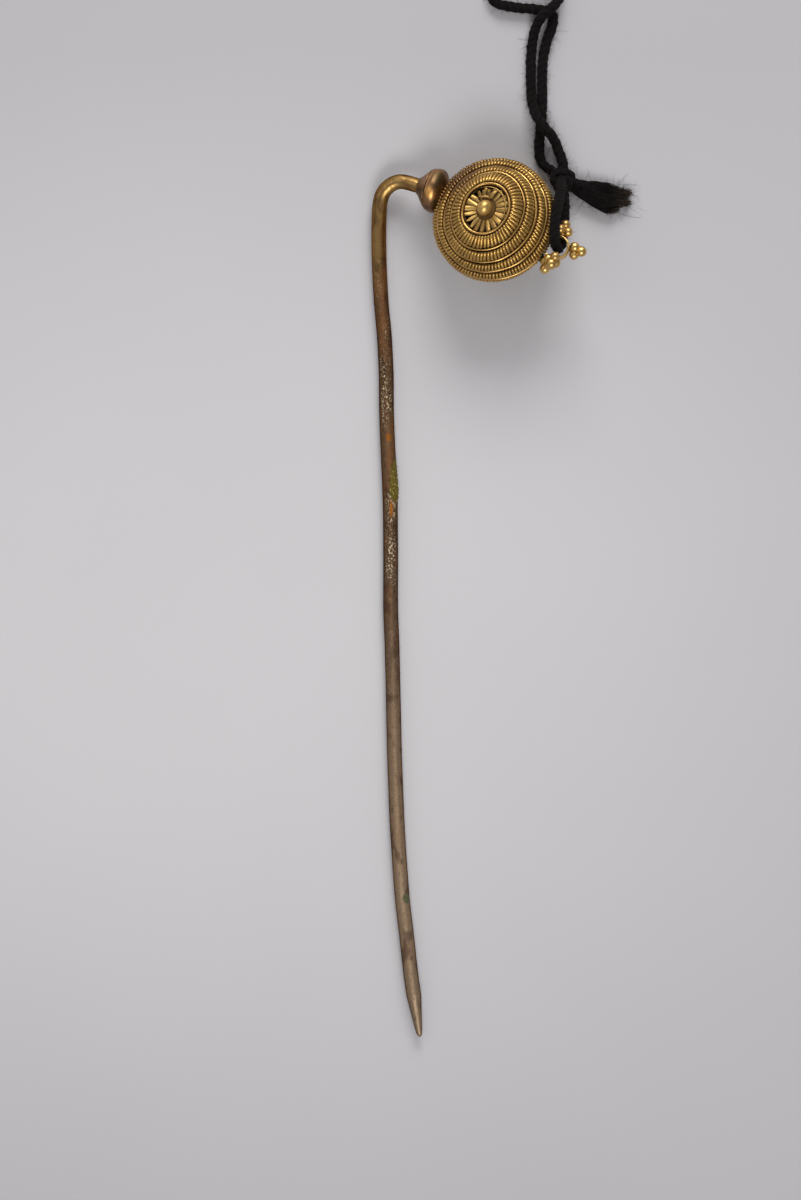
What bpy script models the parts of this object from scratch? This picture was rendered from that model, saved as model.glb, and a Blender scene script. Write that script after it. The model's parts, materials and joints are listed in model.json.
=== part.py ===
"""Hat pin with a wire-built disc head, a turned collar, a bent shaft and a black tie cord.

The pin lies face up on a table at z = 0. The head leans on its back and the shaft lies along -Y.
Head pieces are made round their own axis (local Z) under the empty head_frame, whose local X
points at the collar. Collar pieces are turned round local Z under the empty collar_frame.
"""

import math

import bmesh
import bpy
from mathutils import Matrix, Vector

MM = 0.001

# Overall sizes
HEAD_RADIUS = 9.8 * MM
DOME_HEIGHT = 6.7 * MM
SHAFT_RADIUS = 1.15 * MM
CORD_RADIUS = 0.7 * MM

# Clearances
SOLDER_GAP = 0.1 * MM
CORD_GAP = 0.3 * MM

# Head: four plain wires stand on each dome at these shares of the way from crown to girdle
CROWN_RADIUS = 4.1 * MM
WIRE_STEPS = ((0.0, 1.0), (0.41, 0.76), (0.68, 0.49), (0.88, 0.28))
WIRE_RADIUS = 0.3 * MM
COIL_RISE = 0.45 * MM
DOME_WALL = 0.35 * MM
RING_SIDES = 24

# The head is round at the girdle and a little oval at the crown, narrower towards the collar
CROWN_NARROWING = 0.126
NARROWED_FROM = 0.62

# Crown and finial on the front, flat plate on the back
PETALS = 20
PETAL_WALL = 0.3 * MM
SLOT_INSET = 0.3 * MM
HUB_RADIUS = 1.7 * MM
HUB_HEIGHT = 0.35 * MM
BALL_RADIUS = 1.3 * MM
PLATE_WALL = 0.5 * MM

# How the head lies
HEAD_XY = (2.37 * MM, 58.70 * MM)
HEAD_TILT = math.radians(17.5)
HEAD_LEAN = math.radians(136)
HEAD_TWIST = math.radians(16.5)

# Collar, on an axis that swings a little from the head's radius
COLLAR_SWING = math.radians(10)
COLLAR_INSET = 0.6 * MM
COLLAR_OFFSET = 0.45 * MM
BEAD_RADIUS = 3.5 * MM
BEAD_LENGTH = 2.4 * MM
BEAD_FACE_RADIUS = 1.9 * MM
CONE_RADIUS = 3.05 * MM
CONE_LENGTH = 1.8 * MM
NECK_RADIUS = SHAFT_RADIUS - SOLDER_GAP / 2
NECK_DEPTH = 1.8 * MM

# Shaft tip
TIP_LENGTH = 6.5 * MM
TIP_RADIUS = 0.4 * MM

# Cord loop on the rim, opposite the collar, and the granules round it
LOOP_BORE = 1.55 * MM
LOOP_WALL = 0.4 * MM
LOOP_WIDTH = 1.1 * MM
LOOP_OFFSET = 0.4 * MM
GRANULE_RADIUS = 0.65 * MM
LOOP_REACH = 2 * GRANULE_RADIUS
GRANULE_OUTSET = 0.12 * MM
GRANULE_SPACING = 0.9
CLUSTERS = ((99, 0), (16, 0), (-72, 35), (-97, -14))

# Cord
KNOT_RADIUS = 1.75 * MM
KNOT_CENTRE = (13.0, 65.3, 2.0)
TAIL_THICKNESS = 1.4 * MM
TAIL_LIFT = 0.1 * MM

# X and Y from where the shaft leaves the collar, and the share of that place's height above
# the shaft when it lies on the table
SHAFT_ROUTE = (
    (-1.07, 0.34, 0.846), (-2.42, 0.54, 0.692), (-3.77, 0.09, 0.538), (-4.87, -0.96, 0.404),
    (-5.42, -2.41, 0.308), (-5.62, -4.56, 0.211), (-5.67, -8.41, 0.096), (-5.57, -12.81, 0.019),
    (-5.27, -18.51, 0), (-4.82, -23.41, 0), (-4.52, -29.31, 0), (-4.47, -34.91, 0),
    (-4.22, -41.91, 0), (-3.92, -49.21, 0), (-3.82, -57.21, 0), (-3.82, -65.91, 0),
    (-3.62, -71.41, 0), (-3.42, -80.11, 0), (-3.22, -89.01, 0), (-2.87, -98.01, 0),
    (-2.52, -104.21, 0), (-2.02, -110.91, 0), (-1.32, -117.01, 0), (-0.72, -122.51, 0),
    (-0.17, -126.41, 0), (0.28, -129.61, 0), (0.73, -132.61, 0),
)

LOWER_ROUTE = (
    (13.0, 65.3, 3.0), (12.75, 63.8, 5.9), (12.4, 62.2, 8.8), (12.0, 60.5, 11.3),
    (11.75, 58.9, 12.2), (11.6, 57.2, 12.6), (11.55, 55.7, 12.8), (11.7, 54.7, 12.3),
    (12.0, 54.25, 11.1), (12.3, 54.2, 9.9), (12.8, 55.3, 8.5), (13.15, 57.5, 6.8),
    (13.3, 60.0, 5.2), (13.3, 62.0, 3.8), (13.2, 64.0, 2.5), (13.0, 65.3, 2.0),
)

UPPER_ROUTE = (
    (13.0, 65.3, 1.9), (11.5, 66.7, 1.3), (10.1, 67.8, 0.8), (9.45, 69.5, 0.75),
    (9.55, 72.0, 0.75), (9.75, 74.3, 0.75), (9.9, 77.4, 0.75), (9.9, 81.0, 0.75),
    (10.1, 84.6, 0.75), (10.75, 87.4, 0.75), (11.5, 89.3, 0.75), (11.55, 90.9, 0.75),
    (10.6, 91.7, 0.75), (8.6, 92.0, 0.75), (5.4, 92.3, 0.75), (2.9, 92.9, 0.75),
    (1.9, 94.3, 0.75), (2.7, 96.0, 0.75), (5.6, 97.0, 0.75), (9.3, 96.9, 0.75),
    (11.9, 95.8, 0.75), (12.6, 94.0, 1.2), (11.7, 92.4, 2.4), (10.1, 91.0, 2.55),
    (8.95, 89.2, 1.7), (8.35, 86.6, 0.8), (8.15, 83.6, 0.75), (8.15, 80.5, 0.75),
    (8.3, 77.6, 1.0), (9.0, 75.2, 2.3), (10.2, 73.5, 2.5), (11.4, 72.1, 1.7),
    (12.5, 69.9, 0.9), (13.2, 67.6, 1.3), (13.0, 65.3, 2.0),
)

TAIL_OUTLINE = (
    (14.95, 65.2), (17.0, 64.9), (19.0, 64.7), (21.0, 65.0), (23.2, 64.2), (23.2, 61.0),
    (20.9, 60.2), (18.6, 60.5), (16.7, 61.8), (15.0, 63.1),
)


def material(name, colour, roughness, metallic):
    """A Principled material with one colour, roughness and metallic value."""
    made = bpy.data.materials.new(name)
    made.use_nodes = True
    shader = made.node_tree.nodes["Principled BSDF"]
    shader.inputs["Base Color"].default_value = (*colour, 1.0)
    shader.inputs["Roughness"].default_value = roughness
    shader.inputs["Metallic"].default_value = metallic
    return made


def collection(name):
    made = bpy.data.collections.new(name)
    bpy.context.scene.collection.children.link(made)
    return made


def empty(name, parent=None):
    made = bpy.data.objects.new(name, None)
    made.parent = parent
    parts.objects.link(made)
    return made


def place(obj, finish, parent):
    """Links a new piece, gives it its finish and parents it."""
    obj.data.materials.append(finish)
    obj.parent = parent
    parts.objects.link(obj)
    return obj


def from_bmesh(name, bm, finish, parent):
    """A mesh object of a finished bmesh, shaded smooth where its faces meet gently."""
    mesh = bpy.data.meshes.new(name)
    bm.to_mesh(mesh)
    bm.free()
    mesh.shade_smooth()
    mesh.set_sharp_from_angle(angle=math.radians(40))
    return place(bpy.data.objects.new(name, mesh), finish, parent)


def turned(name, profile, finish, parent, closed=False):
    """A profile of (radius, height) points turned round local Z by a Screw modifier."""
    mesh = bpy.data.meshes.new(name)
    points = [(radius, 0.0, height) for radius, height in profile]
    edges = [(i, i + 1) for i in range(len(points) - 1)]
    if closed:
        edges.append((len(points) - 1, 0))
    mesh.from_pydata(points, edges, [])
    obj = place(bpy.data.objects.new(name, mesh), finish, parent)
    screw = obj.modifiers.new("Screw", "SCREW")
    screw.steps = RING_SIDES
    screw.render_steps = RING_SIDES
    screw.use_merge_vertices = True
    screw.merge_threshold = 0.01 * MM
    screw.use_smooth_shade = True
    return obj


def narrowed(height):
    """How much of its round width the head keeps towards the collar, at a height."""
    share = min(1.0, abs(height) / (NARROWED_FROM * DOME_HEIGHT))
    return 1.0 - CROWN_NARROWING * share**1.5


def wound(name, profile, finish):
    """A closed profile of (radius, height) points taken round the head's oval."""
    bm = bmesh.new()
    rows = []
    for side in range(RING_SIDES):
        across = math.cos(2 * math.pi * side / RING_SIDES)
        along = math.sin(2 * math.pi * side / RING_SIDES)
        rows.append(
            [bm.verts.new((r * across * narrowed(h), r * along, h)) for r, h in profile]
        )
    for row, after in zip(rows, rows[1:] + rows[:1]):
        for start, end in zip(range(-1, len(profile) - 1), range(len(profile))):
            bm.faces.new((row[start], row[end], after[end], after[start]))
    bmesh.ops.recalc_face_normals(bm, faces=bm.faces)
    return from_bmesh(name, bm, finish, head_frame)


def mirrored(profile):
    """The same profile on the back of the head, still running clockwise."""
    return [(radius, -height) for radius, height in reversed(profile)]


def smooth_route(points, spacing):
    """Points about one spacing apart on a Catmull-Rom curve through the route's points."""
    knots = [Vector(point) * MM for point in points]
    ends = [2 * knots[0] - knots[1], *knots, 2 * knots[-1] - knots[-2]]
    route = []
    for a, b, c, d in zip(ends, ends[1:], ends[2:], ends[3:]):
        steps = max(1, round((c - b).length / spacing))
        for step in range(steps):
            t = step / steps
            cubic = 3 * b - 3 * c + d - a
            square = 2 * a - 5 * b + 4 * c - d
            route.append(0.5 * (2 * b + (c - a) * t + square * t**2 + cubic * t**3))
    route.append(knots[-1])
    return route


def tube(name, route, radius, finish, parent, sides_setting, shares=None):
    """A POLY curve along the route, with a round bevel, filled caps and a radius share per point."""
    curve = bpy.data.curves.new(name, "CURVE")
    curve.dimensions = "3D"
    curve.bevel_depth = radius
    curve.bevel_resolution = sides_setting
    curve.use_fill_caps = True
    spline = curve.splines.new("POLY")
    spline.points.add(len(route) - 1)
    for index, point in enumerate(route):
        spline.points[index].co = (*point, 1.0)
        spline.points[index].radius = shares[index] if shares else 1.0
    return place(bpy.data.objects.new(name, curve), finish, parent)


def outline(name, points, thickness, height, finish, parent):
    """A flat outline in XY, extruded to a thickness round one height."""
    curve = bpy.data.curves.new(name, "CURVE")
    curve.dimensions = "2D"
    curve.fill_mode = "BOTH"
    curve.extrude = thickness / 2
    spline = curve.splines.new("POLY")
    spline.use_cyclic_u = True
    spline.points.add(len(points) - 1)
    for index, (x, y) in enumerate(points):
        spline.points[index].co = (x, y, 0.0, 1.0)
    obj = place(bpy.data.objects.new(name, curve), finish, parent)
    obj.location.z = height
    return obj


def hidden(obj):
    """Makes a piece a cutter that shapes others and isn't a piece itself."""
    parts.objects.unlink(obj)
    cutters.objects.link(obj)
    obj.hide_render = True
    obj.display_type = "WIRE"
    return obj


def cut(obj, cutter):
    boolean = obj.modifiers.new("Cut", "BOOLEAN")
    boolean.operation = "DIFFERENCE"
    boolean.object = cutter


def dome_line():
    """Centres of the four plain wires and the girdle wire, from the crown outwards."""
    rim = HEAD_RADIUS - WIRE_RADIUS
    span = rim - CROWN_RADIUS
    line = [(CROWN_RADIUS + span * out, DOME_HEIGHT * up) for out, up in WIRE_STEPS]
    return [Vector(point) for point in (*line, (rim, 0.0))]


def outward(a, b):
    """Unit normal of the step from a to b along the dome line, pointing off the head."""
    along = (b - a).normalized()
    return Vector((-along.y, along.x))


def shifted_line(line, distance):
    """The dome line moved off the head by a distance (inwards when negative)."""
    normals = [outward(a, b) for a, b in zip(line, line[1:])]
    before, after = [normals[0], *normals], [*normals, normals[-1]]
    return [point + (a + b).normalized() * distance for point, a, b in zip(line, before, after)]


def oval(centre, along, half_width, half_height, sides):
    """A clockwise oval round a centre, its long way along the given direction."""
    across = Vector((-along.y, along.x))
    angles = [-2 * math.pi * (side + 0.5) / sides for side in range(sides)]
    points = [
        centre + along * half_width * math.cos(angle) + across * half_height * math.sin(angle)
        for angle in angles
    ]
    return [tuple(point) for point in points]


def head_height(line):
    """How high the head's centre is when its back rests on the table."""
    back = [(HEAD_RADIUS - WIRE_RADIUS, 0.0, WIRE_RADIUS)]
    back += [(*point, WIRE_RADIUS) for point in line]
    back += [(*coil_place(a, b)[0], COIL_RISE) for a, b in zip(line, line[1:])]
    back.append((plate_radius(), DOME_HEIGHT + WIRE_RADIUS + SOLDER_GAP, 0.0))
    across, along = math.cos(HEAD_TWIST), math.sin(HEAD_TWIST)
    return max(
        r * math.hypot(narrowed(h) * across, along) * math.sin(HEAD_TILT)
        + h * math.cos(HEAD_TILT) + grow
        for r, h, grow in back
    )


def plate_radius():
    return CROWN_RADIUS - WIRE_RADIUS - SOLDER_GAP


def coil_place(a, b):
    """Centre and half width of the coiled band between two wires, standing on the dome."""
    middle = (a + b) / 2 + outward(a, b) * (COIL_RISE - WIRE_RADIUS)
    return middle, (b - a).length / 2 - WIRE_RADIUS - SOLDER_GAP


def wire_rings(line):
    """Plain round wires on both domes, and the girdle wire where the domes meet."""
    round_way = Vector((1.0, 0.0))
    for number, centre in enumerate(line[:-1], 1):
        profile = oval(centre, round_way, WIRE_RADIUS, WIRE_RADIUS, 6)
        wound(f"front_wire_{number}", profile, gilt)
        wound(f"back_wire_{number}", mirrored(profile), gilt)
    profile = oval(line[-1], round_way, WIRE_RADIUS, WIRE_RADIUS, 6)
    return [wound("girdle_wire", profile, gilt)]


def coil_rings(line):
    """The coiled bands between the wires, as the rings that their turns fill."""
    outermost = []
    for letter, a, b in zip("abcd", line, line[1:]):
        centre, half_width = coil_place(a, b)
        profile = oval(centre, (b - a).normalized(), half_width, COIL_RISE, 8)
        front = wound(f"front_coil_{letter}", profile, gilt)
        back = wound(f"back_coil_{letter}", mirrored(profile), gilt)
        outermost = [front, back]
    return outermost


def domes(line):
    """Two thin sheet domes under the wires, open at the crown and at the girdle."""
    outer = shifted_line(line, -(WIRE_RADIUS + SOLDER_GAP))
    inner = shifted_line(line, -(WIRE_RADIUS + SOLDER_GAP + DOME_WALL))
    outer[-1].y = inner[-1].y = SOLDER_GAP
    profile = [tuple(point) for point in (*outer, *reversed(inner))]
    front = wound("front_dome", profile, dark_gilt)
    back = wound("back_dome", mirrored(profile), dark_gilt)
    return [front, back]


def crown():
    """Openwork crown: a thin ring with one slot between each pair of petals."""
    columns = 2 * PETALS
    outer_radius = plate_radius()
    radii = (HUB_RADIUS + SOLDER_GAP, HUB_RADIUS + 1.5 * SLOT_INSET, outer_radius - SLOT_INSET, outer_radius)
    level = DOME_HEIGHT - WIRE_RADIUS / 2
    share = narrowed(level)
    turn = [2 * math.pi * column / columns for column in range(columns)]
    bm = bmesh.new()
    rows = []
    for radius in radii:
        rows.append(
            [bm.verts.new((radius * share * math.cos(a), radius * math.sin(a), level)) for a in turn]
        )
    for row, (inside, outside) in enumerate(zip(rows, rows[1:])):
        for column in range(columns):
            if row == 1 and column % 2:
                continue
            after = (column + 1) % columns
            bm.faces.new((inside[column], outside[column], outside[after], inside[after]))
    plate = from_bmesh("crown_petals", bm, gilt, head_frame)
    wall = plate.modifiers.new("Wall", "SOLIDIFY")
    wall.thickness = PETAL_WALL
    wall.offset = -1.0


def finial():
    """A low round base in the crown's middle, and the ball soldered on it."""
    foot = DOME_HEIGHT - WIRE_RADIUS / 2 - PETAL_WALL
    top = foot + PETAL_WALL + HUB_HEIGHT
    profile = ((0.0, top), (0.7 * HUB_RADIUS, top), (HUB_RADIUS, top - HUB_HEIGHT / 2))
    profile += ((HUB_RADIUS, foot), (0.0, foot))
    base = turned("finial_base", profile, gilt, head_frame)
    base.scale.x = narrowed(top)
    bm = bmesh.new()
    seat = Matrix.Translation((0.0, 0.0, top + SOLDER_GAP / 2 + BALL_RADIUS))
    bmesh.ops.create_uvsphere(
        bm, u_segments=16, v_segments=10, radius=BALL_RADIUS, matrix=seat
    )
    from_bmesh("finial_ball", bm, gilt, head_frame)


def back_plate():
    """The flat disc that closes the back."""
    face = -(DOME_HEIGHT + WIRE_RADIUS + SOLDER_GAP)
    radius = plate_radius()
    profile = ((0.0, face + PLATE_WALL), (radius, face + PLATE_WALL), (radius, face), (0.0, face))
    plate = turned("back_plate", profile, dark_gilt, head_frame)
    plate.scale.x = narrowed(face)


def collar(rim_pieces):
    """Bead, cone and neck on one axis; the rim is cut away where the bead and the neck enter it."""
    bore = SHAFT_RADIUS + SOLDER_GAP
    start = SOLDER_GAP
    widest = start + 0.6 * BEAD_LENGTH
    end = start + BEAD_LENGTH
    rounded_face = (
        (BEAD_RADIUS, widest), (0.96 * BEAD_RADIUS, widest - 0.25 * BEAD_LENGTH),
        (0.82 * BEAD_RADIUS, start + 0.15 * BEAD_LENGTH), (BEAD_FACE_RADIUS, start),
    )
    bead = ((bore, end), (CONE_RADIUS, end), (0.96 * BEAD_RADIUS, widest + 0.22 * BEAD_LENGTH))
    turned("collar_bead", bead + rounded_face + ((bore, start),), copper, collar_frame, closed=True)
    near = end + SOLDER_GAP
    far = near + CONE_LENGTH
    cone = (
        (bore, far), (bore + SOLDER_GAP, far), (0.55 * CONE_RADIUS, far - 0.2 * CONE_LENGTH),
        (0.8 * CONE_RADIUS, near + 0.4 * CONE_LENGTH), (CONE_RADIUS, near), (bore, near),
    )
    turned("collar_cone", cone, copper, collar_frame, closed=True)
    top = start + BEAD_LENGTH / 2 - SOLDER_GAP
    neck = ((0.0, top), (NECK_RADIUS, top), (NECK_RADIUS, -NECK_DEPTH), (0.0, -NECK_DEPTH))
    turned("collar_neck", neck, copper, collar_frame)
    seat = [(radius + SOLDER_GAP, height - SOLDER_GAP) for radius, height in rounded_face]
    hole = NECK_RADIUS + SOLDER_GAP
    seat = [(0.0, widest), *seat, (hole, 0.0), (hole, -2 * NECK_DEPTH), (0.0, -2 * NECK_DEPTH)]
    cutter = hidden(turned("bead_seat", seat, dark_gilt, collar_frame))
    for piece in rim_pieces:
        cut(piece, cutter)
    return far


def shaft(collar_end):
    """One rod: straight through the collar, over the swan neck and down to a blunt tip."""
    seat = collar_matrix @ Vector((0.0, 0.0, SOLDER_GAP + BEAD_LENGTH / 2))
    leave = collar_matrix @ Vector((0.0, 0.0, collar_end + SHAFT_RADIUS / 2))
    straight = [seat, (seat + leave) / 2, leave]
    drop = leave.z - SHAFT_RADIUS
    bent = [
        (leave.x / MM + x, leave.y / MM + y, (SHAFT_RADIUS + share * drop) / MM)
        for x, y, share in SHAFT_ROUTE
    ]
    route = smooth_route([*(tuple(p / MM) for p in straight), *bent], 2.0 * MM)
    left = [0.0]
    for a, b in zip(reversed(route), reversed(route[:-1])):
        left.insert(0, left[0] + (b - a).length)
    tip_share = TIP_RADIUS / SHAFT_RADIUS
    shares = [min(1.0, tip_share + (1.0 - tip_share) * rest / TIP_LENGTH) for rest in left]
    tube("pin_shaft", route, SHAFT_RADIUS, brass, None, 4, shares)


def cord_loop():
    """A flat strip bent to a U, its two feet on the rim, and granule pyramids round it."""
    outer = LOOP_BORE + LOOP_WALL
    foot = SOLDER_GAP - LOOP_REACH
    bend = [math.radians(-90 + 15 * step) for step in range(13)]
    points = [(foot, -outer)]
    points += [(outer * math.cos(a), outer * math.sin(a)) for a in bend]
    points += [(foot, outer), (foot, LOOP_BORE)]
    points += [(LOOP_BORE * math.cos(a), LOOP_BORE * math.sin(a)) for a in reversed(bend)]
    points.append((foot, -LOOP_BORE))
    outline("cord_loop", points, LOOP_WIDTH, 0.0, gilt, loop_frame)
    for number, (turn, lift) in enumerate(CLUSTERS, 1):
        granules(number, math.radians(turn), math.radians(lift), outer)


def granules(number, turn, lift, strip_radius):
    """Three granules side by side on the strip and a fourth on top, soldered to one body."""
    away = Vector((math.cos(turn), math.sin(turn), 0.0))
    aim = away * math.cos(lift) + Vector((0.0, 0.0, math.sin(lift)))
    side = aim.cross(Vector((0.0, 0.0, 1.0))).normalized()
    other = aim.cross(side)
    touch = 2 * GRANULE_RADIUS * GRANULE_SPACING
    base_way = touch / math.sqrt(3)
    rise = touch * math.sqrt(2 / 3)
    start = aim * (strip_radius + SOLDER_GAP + GRANULE_RADIUS) + away * GRANULE_OUTSET
    centres = [start + aim * rise]
    for third in range(3):
        angle = 2 * math.pi * third / 3
        centres.append(start + (side * math.cos(angle) + other * math.sin(angle)) * base_way)
    name = f"granules_{number}"
    pieces = []
    for centre in centres:
        bm = bmesh.new()
        bmesh.ops.create_uvsphere(
            bm, u_segments=10, v_segments=7, radius=GRANULE_RADIUS, matrix=Matrix.Translation(centre)
        )
        label = f"{name}_base_{len(pieces)}" if pieces else name
        pieces.append(from_bmesh(label, bm, gilt, loop_frame))
    for other_piece in pieces[1:]:
        union = pieces[0].modifiers.new("Solder", "BOOLEAN")
        union.operation = "UNION"
        union.object = hidden(other_piece)


def clear_of_knot(route):
    """The stretch of a route that lies outside the knot, with room for the cord's own end."""
    centre = Vector(KNOT_CENTRE) * MM
    reach = KNOT_RADIUS + CORD_GAP + CORD_RADIUS / 3
    return [point for point in route if (point - centre).length > reach]


def cord():
    """Plain solids of the cord: the loop through the strip, the long loop, the knot, the ends."""
    step = 2.2 * CORD_RADIUS
    for name, points in (("cord_lower_loop", LOWER_ROUTE), ("cord_upper_loop", UPPER_ROUTE)):
        route = clear_of_knot(smooth_route(points, step))
        tube(name, route, CORD_RADIUS, black, None, 2)
    bm = bmesh.new()
    bmesh.ops.create_uvsphere(
        bm, u_segments=12, v_segments=8, radius=KNOT_RADIUS,
        matrix=Matrix.Translation(Vector(KNOT_CENTRE) * MM),
    )
    from_bmesh("cord_knot", bm, black, None)
    tail = [(x * MM, y * MM) for x, y in TAIL_OUTLINE]
    outline("cord_tail", tail, TAIL_THICKNESS, TAIL_THICKNESS / 2 + TAIL_LIFT, black, None)


for old in list(bpy.data.objects):
    bpy.data.objects.remove(old)
parts = collection("hat_pin")
cutters = collection("cutters")
gilt = material("worn_gilt", (0.62, 0.40, 0.12), 0.34, 1.0)
dark_gilt = material("dark_gilt", (0.30, 0.17, 0.06), 0.5, 1.0)
copper = material("coppery_brass", (0.46, 0.24, 0.09), 0.3, 1.0)
brass = material("aged_brass", (0.42, 0.29, 0.13), 0.36, 1.0)
black = material("black_cotton", (0.012, 0.011, 0.012), 0.9, 0.0)

wire_line = dome_line()
head_matrix = Matrix.Translation((*HEAD_XY, head_height(wire_line)))
head_matrix @= Matrix.Rotation(HEAD_LEAN, 4, "Z") @ Matrix.Rotation(HEAD_TILT, 4, "Y")
head_matrix @= Matrix.Rotation(HEAD_TWIST, 4, "Z")
collar_place = Matrix.Translation((HEAD_RADIUS - COLLAR_INSET, -COLLAR_OFFSET, 0.0))
collar_place @= Matrix.Rotation(COLLAR_SWING, 4, "Z") @ Matrix.Rotation(math.pi / 2, 4, "Y")
collar_matrix = head_matrix @ collar_place
loop_place = Matrix.Translation((-(HEAD_RADIUS + LOOP_REACH), -LOOP_OFFSET, 0.0))
loop_place @= Matrix.Rotation(math.pi, 4, "Z")

head_frame = empty("head_frame")
head_frame.matrix_world = head_matrix
collar_frame = empty("collar_frame", head_frame)
collar_frame.matrix_local = collar_place
loop_frame = empty("loop_frame", head_frame)
loop_frame.matrix_local = loop_place

rim = wire_rings(wire_line) + coil_rings(wire_line) + domes(wire_line)
crown()
finial()
back_plate()
shaft(collar(rim))
cord_loop()
cord()
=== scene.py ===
"""Looks for a hat pin: a disc head wound from gilded wire, a turned collar, a bent shaft and a
black tie cord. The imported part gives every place; this script makes the surfaces and finishes."""

import json
import math

import bpy
import numpy as np
from mathutils import Matrix, Vector


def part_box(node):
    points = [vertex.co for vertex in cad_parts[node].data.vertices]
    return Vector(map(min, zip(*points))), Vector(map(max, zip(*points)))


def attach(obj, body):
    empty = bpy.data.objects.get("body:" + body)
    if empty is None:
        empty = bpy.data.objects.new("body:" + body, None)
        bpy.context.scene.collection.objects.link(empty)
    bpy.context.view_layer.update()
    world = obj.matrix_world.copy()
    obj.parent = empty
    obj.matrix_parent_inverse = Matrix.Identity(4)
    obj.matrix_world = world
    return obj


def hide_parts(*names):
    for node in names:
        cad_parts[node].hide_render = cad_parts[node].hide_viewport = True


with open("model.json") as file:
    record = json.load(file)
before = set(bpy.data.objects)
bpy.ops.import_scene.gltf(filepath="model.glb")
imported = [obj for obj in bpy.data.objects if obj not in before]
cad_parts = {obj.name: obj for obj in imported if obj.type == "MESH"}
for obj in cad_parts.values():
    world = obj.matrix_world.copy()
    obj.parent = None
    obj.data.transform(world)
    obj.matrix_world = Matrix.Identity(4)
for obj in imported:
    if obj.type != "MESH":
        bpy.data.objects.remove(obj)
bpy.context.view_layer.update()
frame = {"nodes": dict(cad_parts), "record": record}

# ---------------------------------------------------------------------------------------------
# Camera, lights and table. The pin lies on a pale table and is looked at from straight above
# through a long lens. One soft light stands low beyond the head, one higher by the point, and
# a faint one at the side.

MM = 0.001
VIEW_CENTRE = (-12.18 * MM, -0.11 * MM)
VIEW_DISTANCE = 1.0
VIEW_HEIGHT = 187.2 * MM
FILM_HEIGHT = 36.0
LIT_POINT = Vector((0.0, 0.02, 0.0))
ROOM_COLOUR = (0.62, 0.62, 0.64, 1.0)
ROOM_STRENGTH = 0.42

scene = bpy.context.scene
scene.view_settings.view_transform = "Standard"
camera_data = bpy.data.cameras.new("camera")
camera_data.sensor_fit = "VERTICAL"
camera_data.sensor_height = FILM_HEIGHT
camera_data.lens = FILM_HEIGHT * VIEW_DISTANCE / VIEW_HEIGHT
camera = bpy.data.objects.new("camera", camera_data)
camera.location = (*VIEW_CENTRE, VIEW_DISTANCE)
scene.collection.objects.link(camera)
scene.camera = camera


def soft_light(name, place, power, width, height):
    """An area light of a power in watts and a width and height in metres, put at a place and
    turned to face the head of the pin."""
    data = bpy.data.lights.new(name, "AREA")
    data.shape = "RECTANGLE"
    data.size, data.size_y = width, height
    data.energy = power
    lamp = bpy.data.objects.new(name, data)
    lamp.location = place
    lamp.rotation_euler = (LIT_POINT - lamp.location).to_track_quat("-Z", "Y").to_euler()
    scene.collection.objects.link(lamp)


soft_light("far_light", (0.06, 0.62, 0.36), 3.7, 0.42, 0.26)
soft_light("near_light", (0.06, -0.50, 0.66), 3.5, 0.46, 0.34)
soft_light("side_light", (-0.50, 0.30, 0.50), 0.5, 0.5, 0.5)
world = bpy.data.worlds.new("studio")
world.use_nodes = True
room = world.node_tree.nodes["Background"].inputs
room["Color"].default_value = ROOM_COLOUR
room["Strength"].default_value = ROOM_STRENGTH
scene.world = world


class Flow:
    """A shader socket whose number or colour flows on. Arithmetic on it adds Math nodes, and the
    reflected forms let 1 - flow be written as it is."""

    def __init__(self, tree, socket):
        """Keeps the node tree and the socket that the value comes out of."""
        self.tree, self.socket = tree, socket

    def maths(self, operation, first, second, clamp=False):
        """One Math node on two values, held from 0 to 1 when clamped."""
        settings = {"operation": operation, "use_clamp": clamp}
        return Finish.add(self.tree, "ShaderNodeMath", settings, {0: first, 1: second})

    def __add__(self, other):
        """This plus the other."""
        return self.maths("ADD", self, other)

    __radd__ = __add__

    def __mul__(self, other):
        """This times the other."""
        return self.maths("MULTIPLY", self, other)

    __rmul__ = __mul__

    def __sub__(self, other):
        """This less the other."""
        return self.maths("SUBTRACT", self, other)

    def __rsub__(self, other):
        """The other less this."""
        return self.maths("SUBTRACT", other, self)

    def clipped(self):
        """The value held from 0 to 1."""
        return self.maths("ADD", self, 0.0, clamp=True)

    def ramp(self, low, high):
        """0 below low and 1 above high, with a smooth rise between."""
        settings = {"interpolation_type": "SMOOTHSTEP"}
        values = {"Value": self, "From Min": low, "From Max": high}
        return Finish.add(self.tree, "ShaderNodeMapRange", settings, values)


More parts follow.
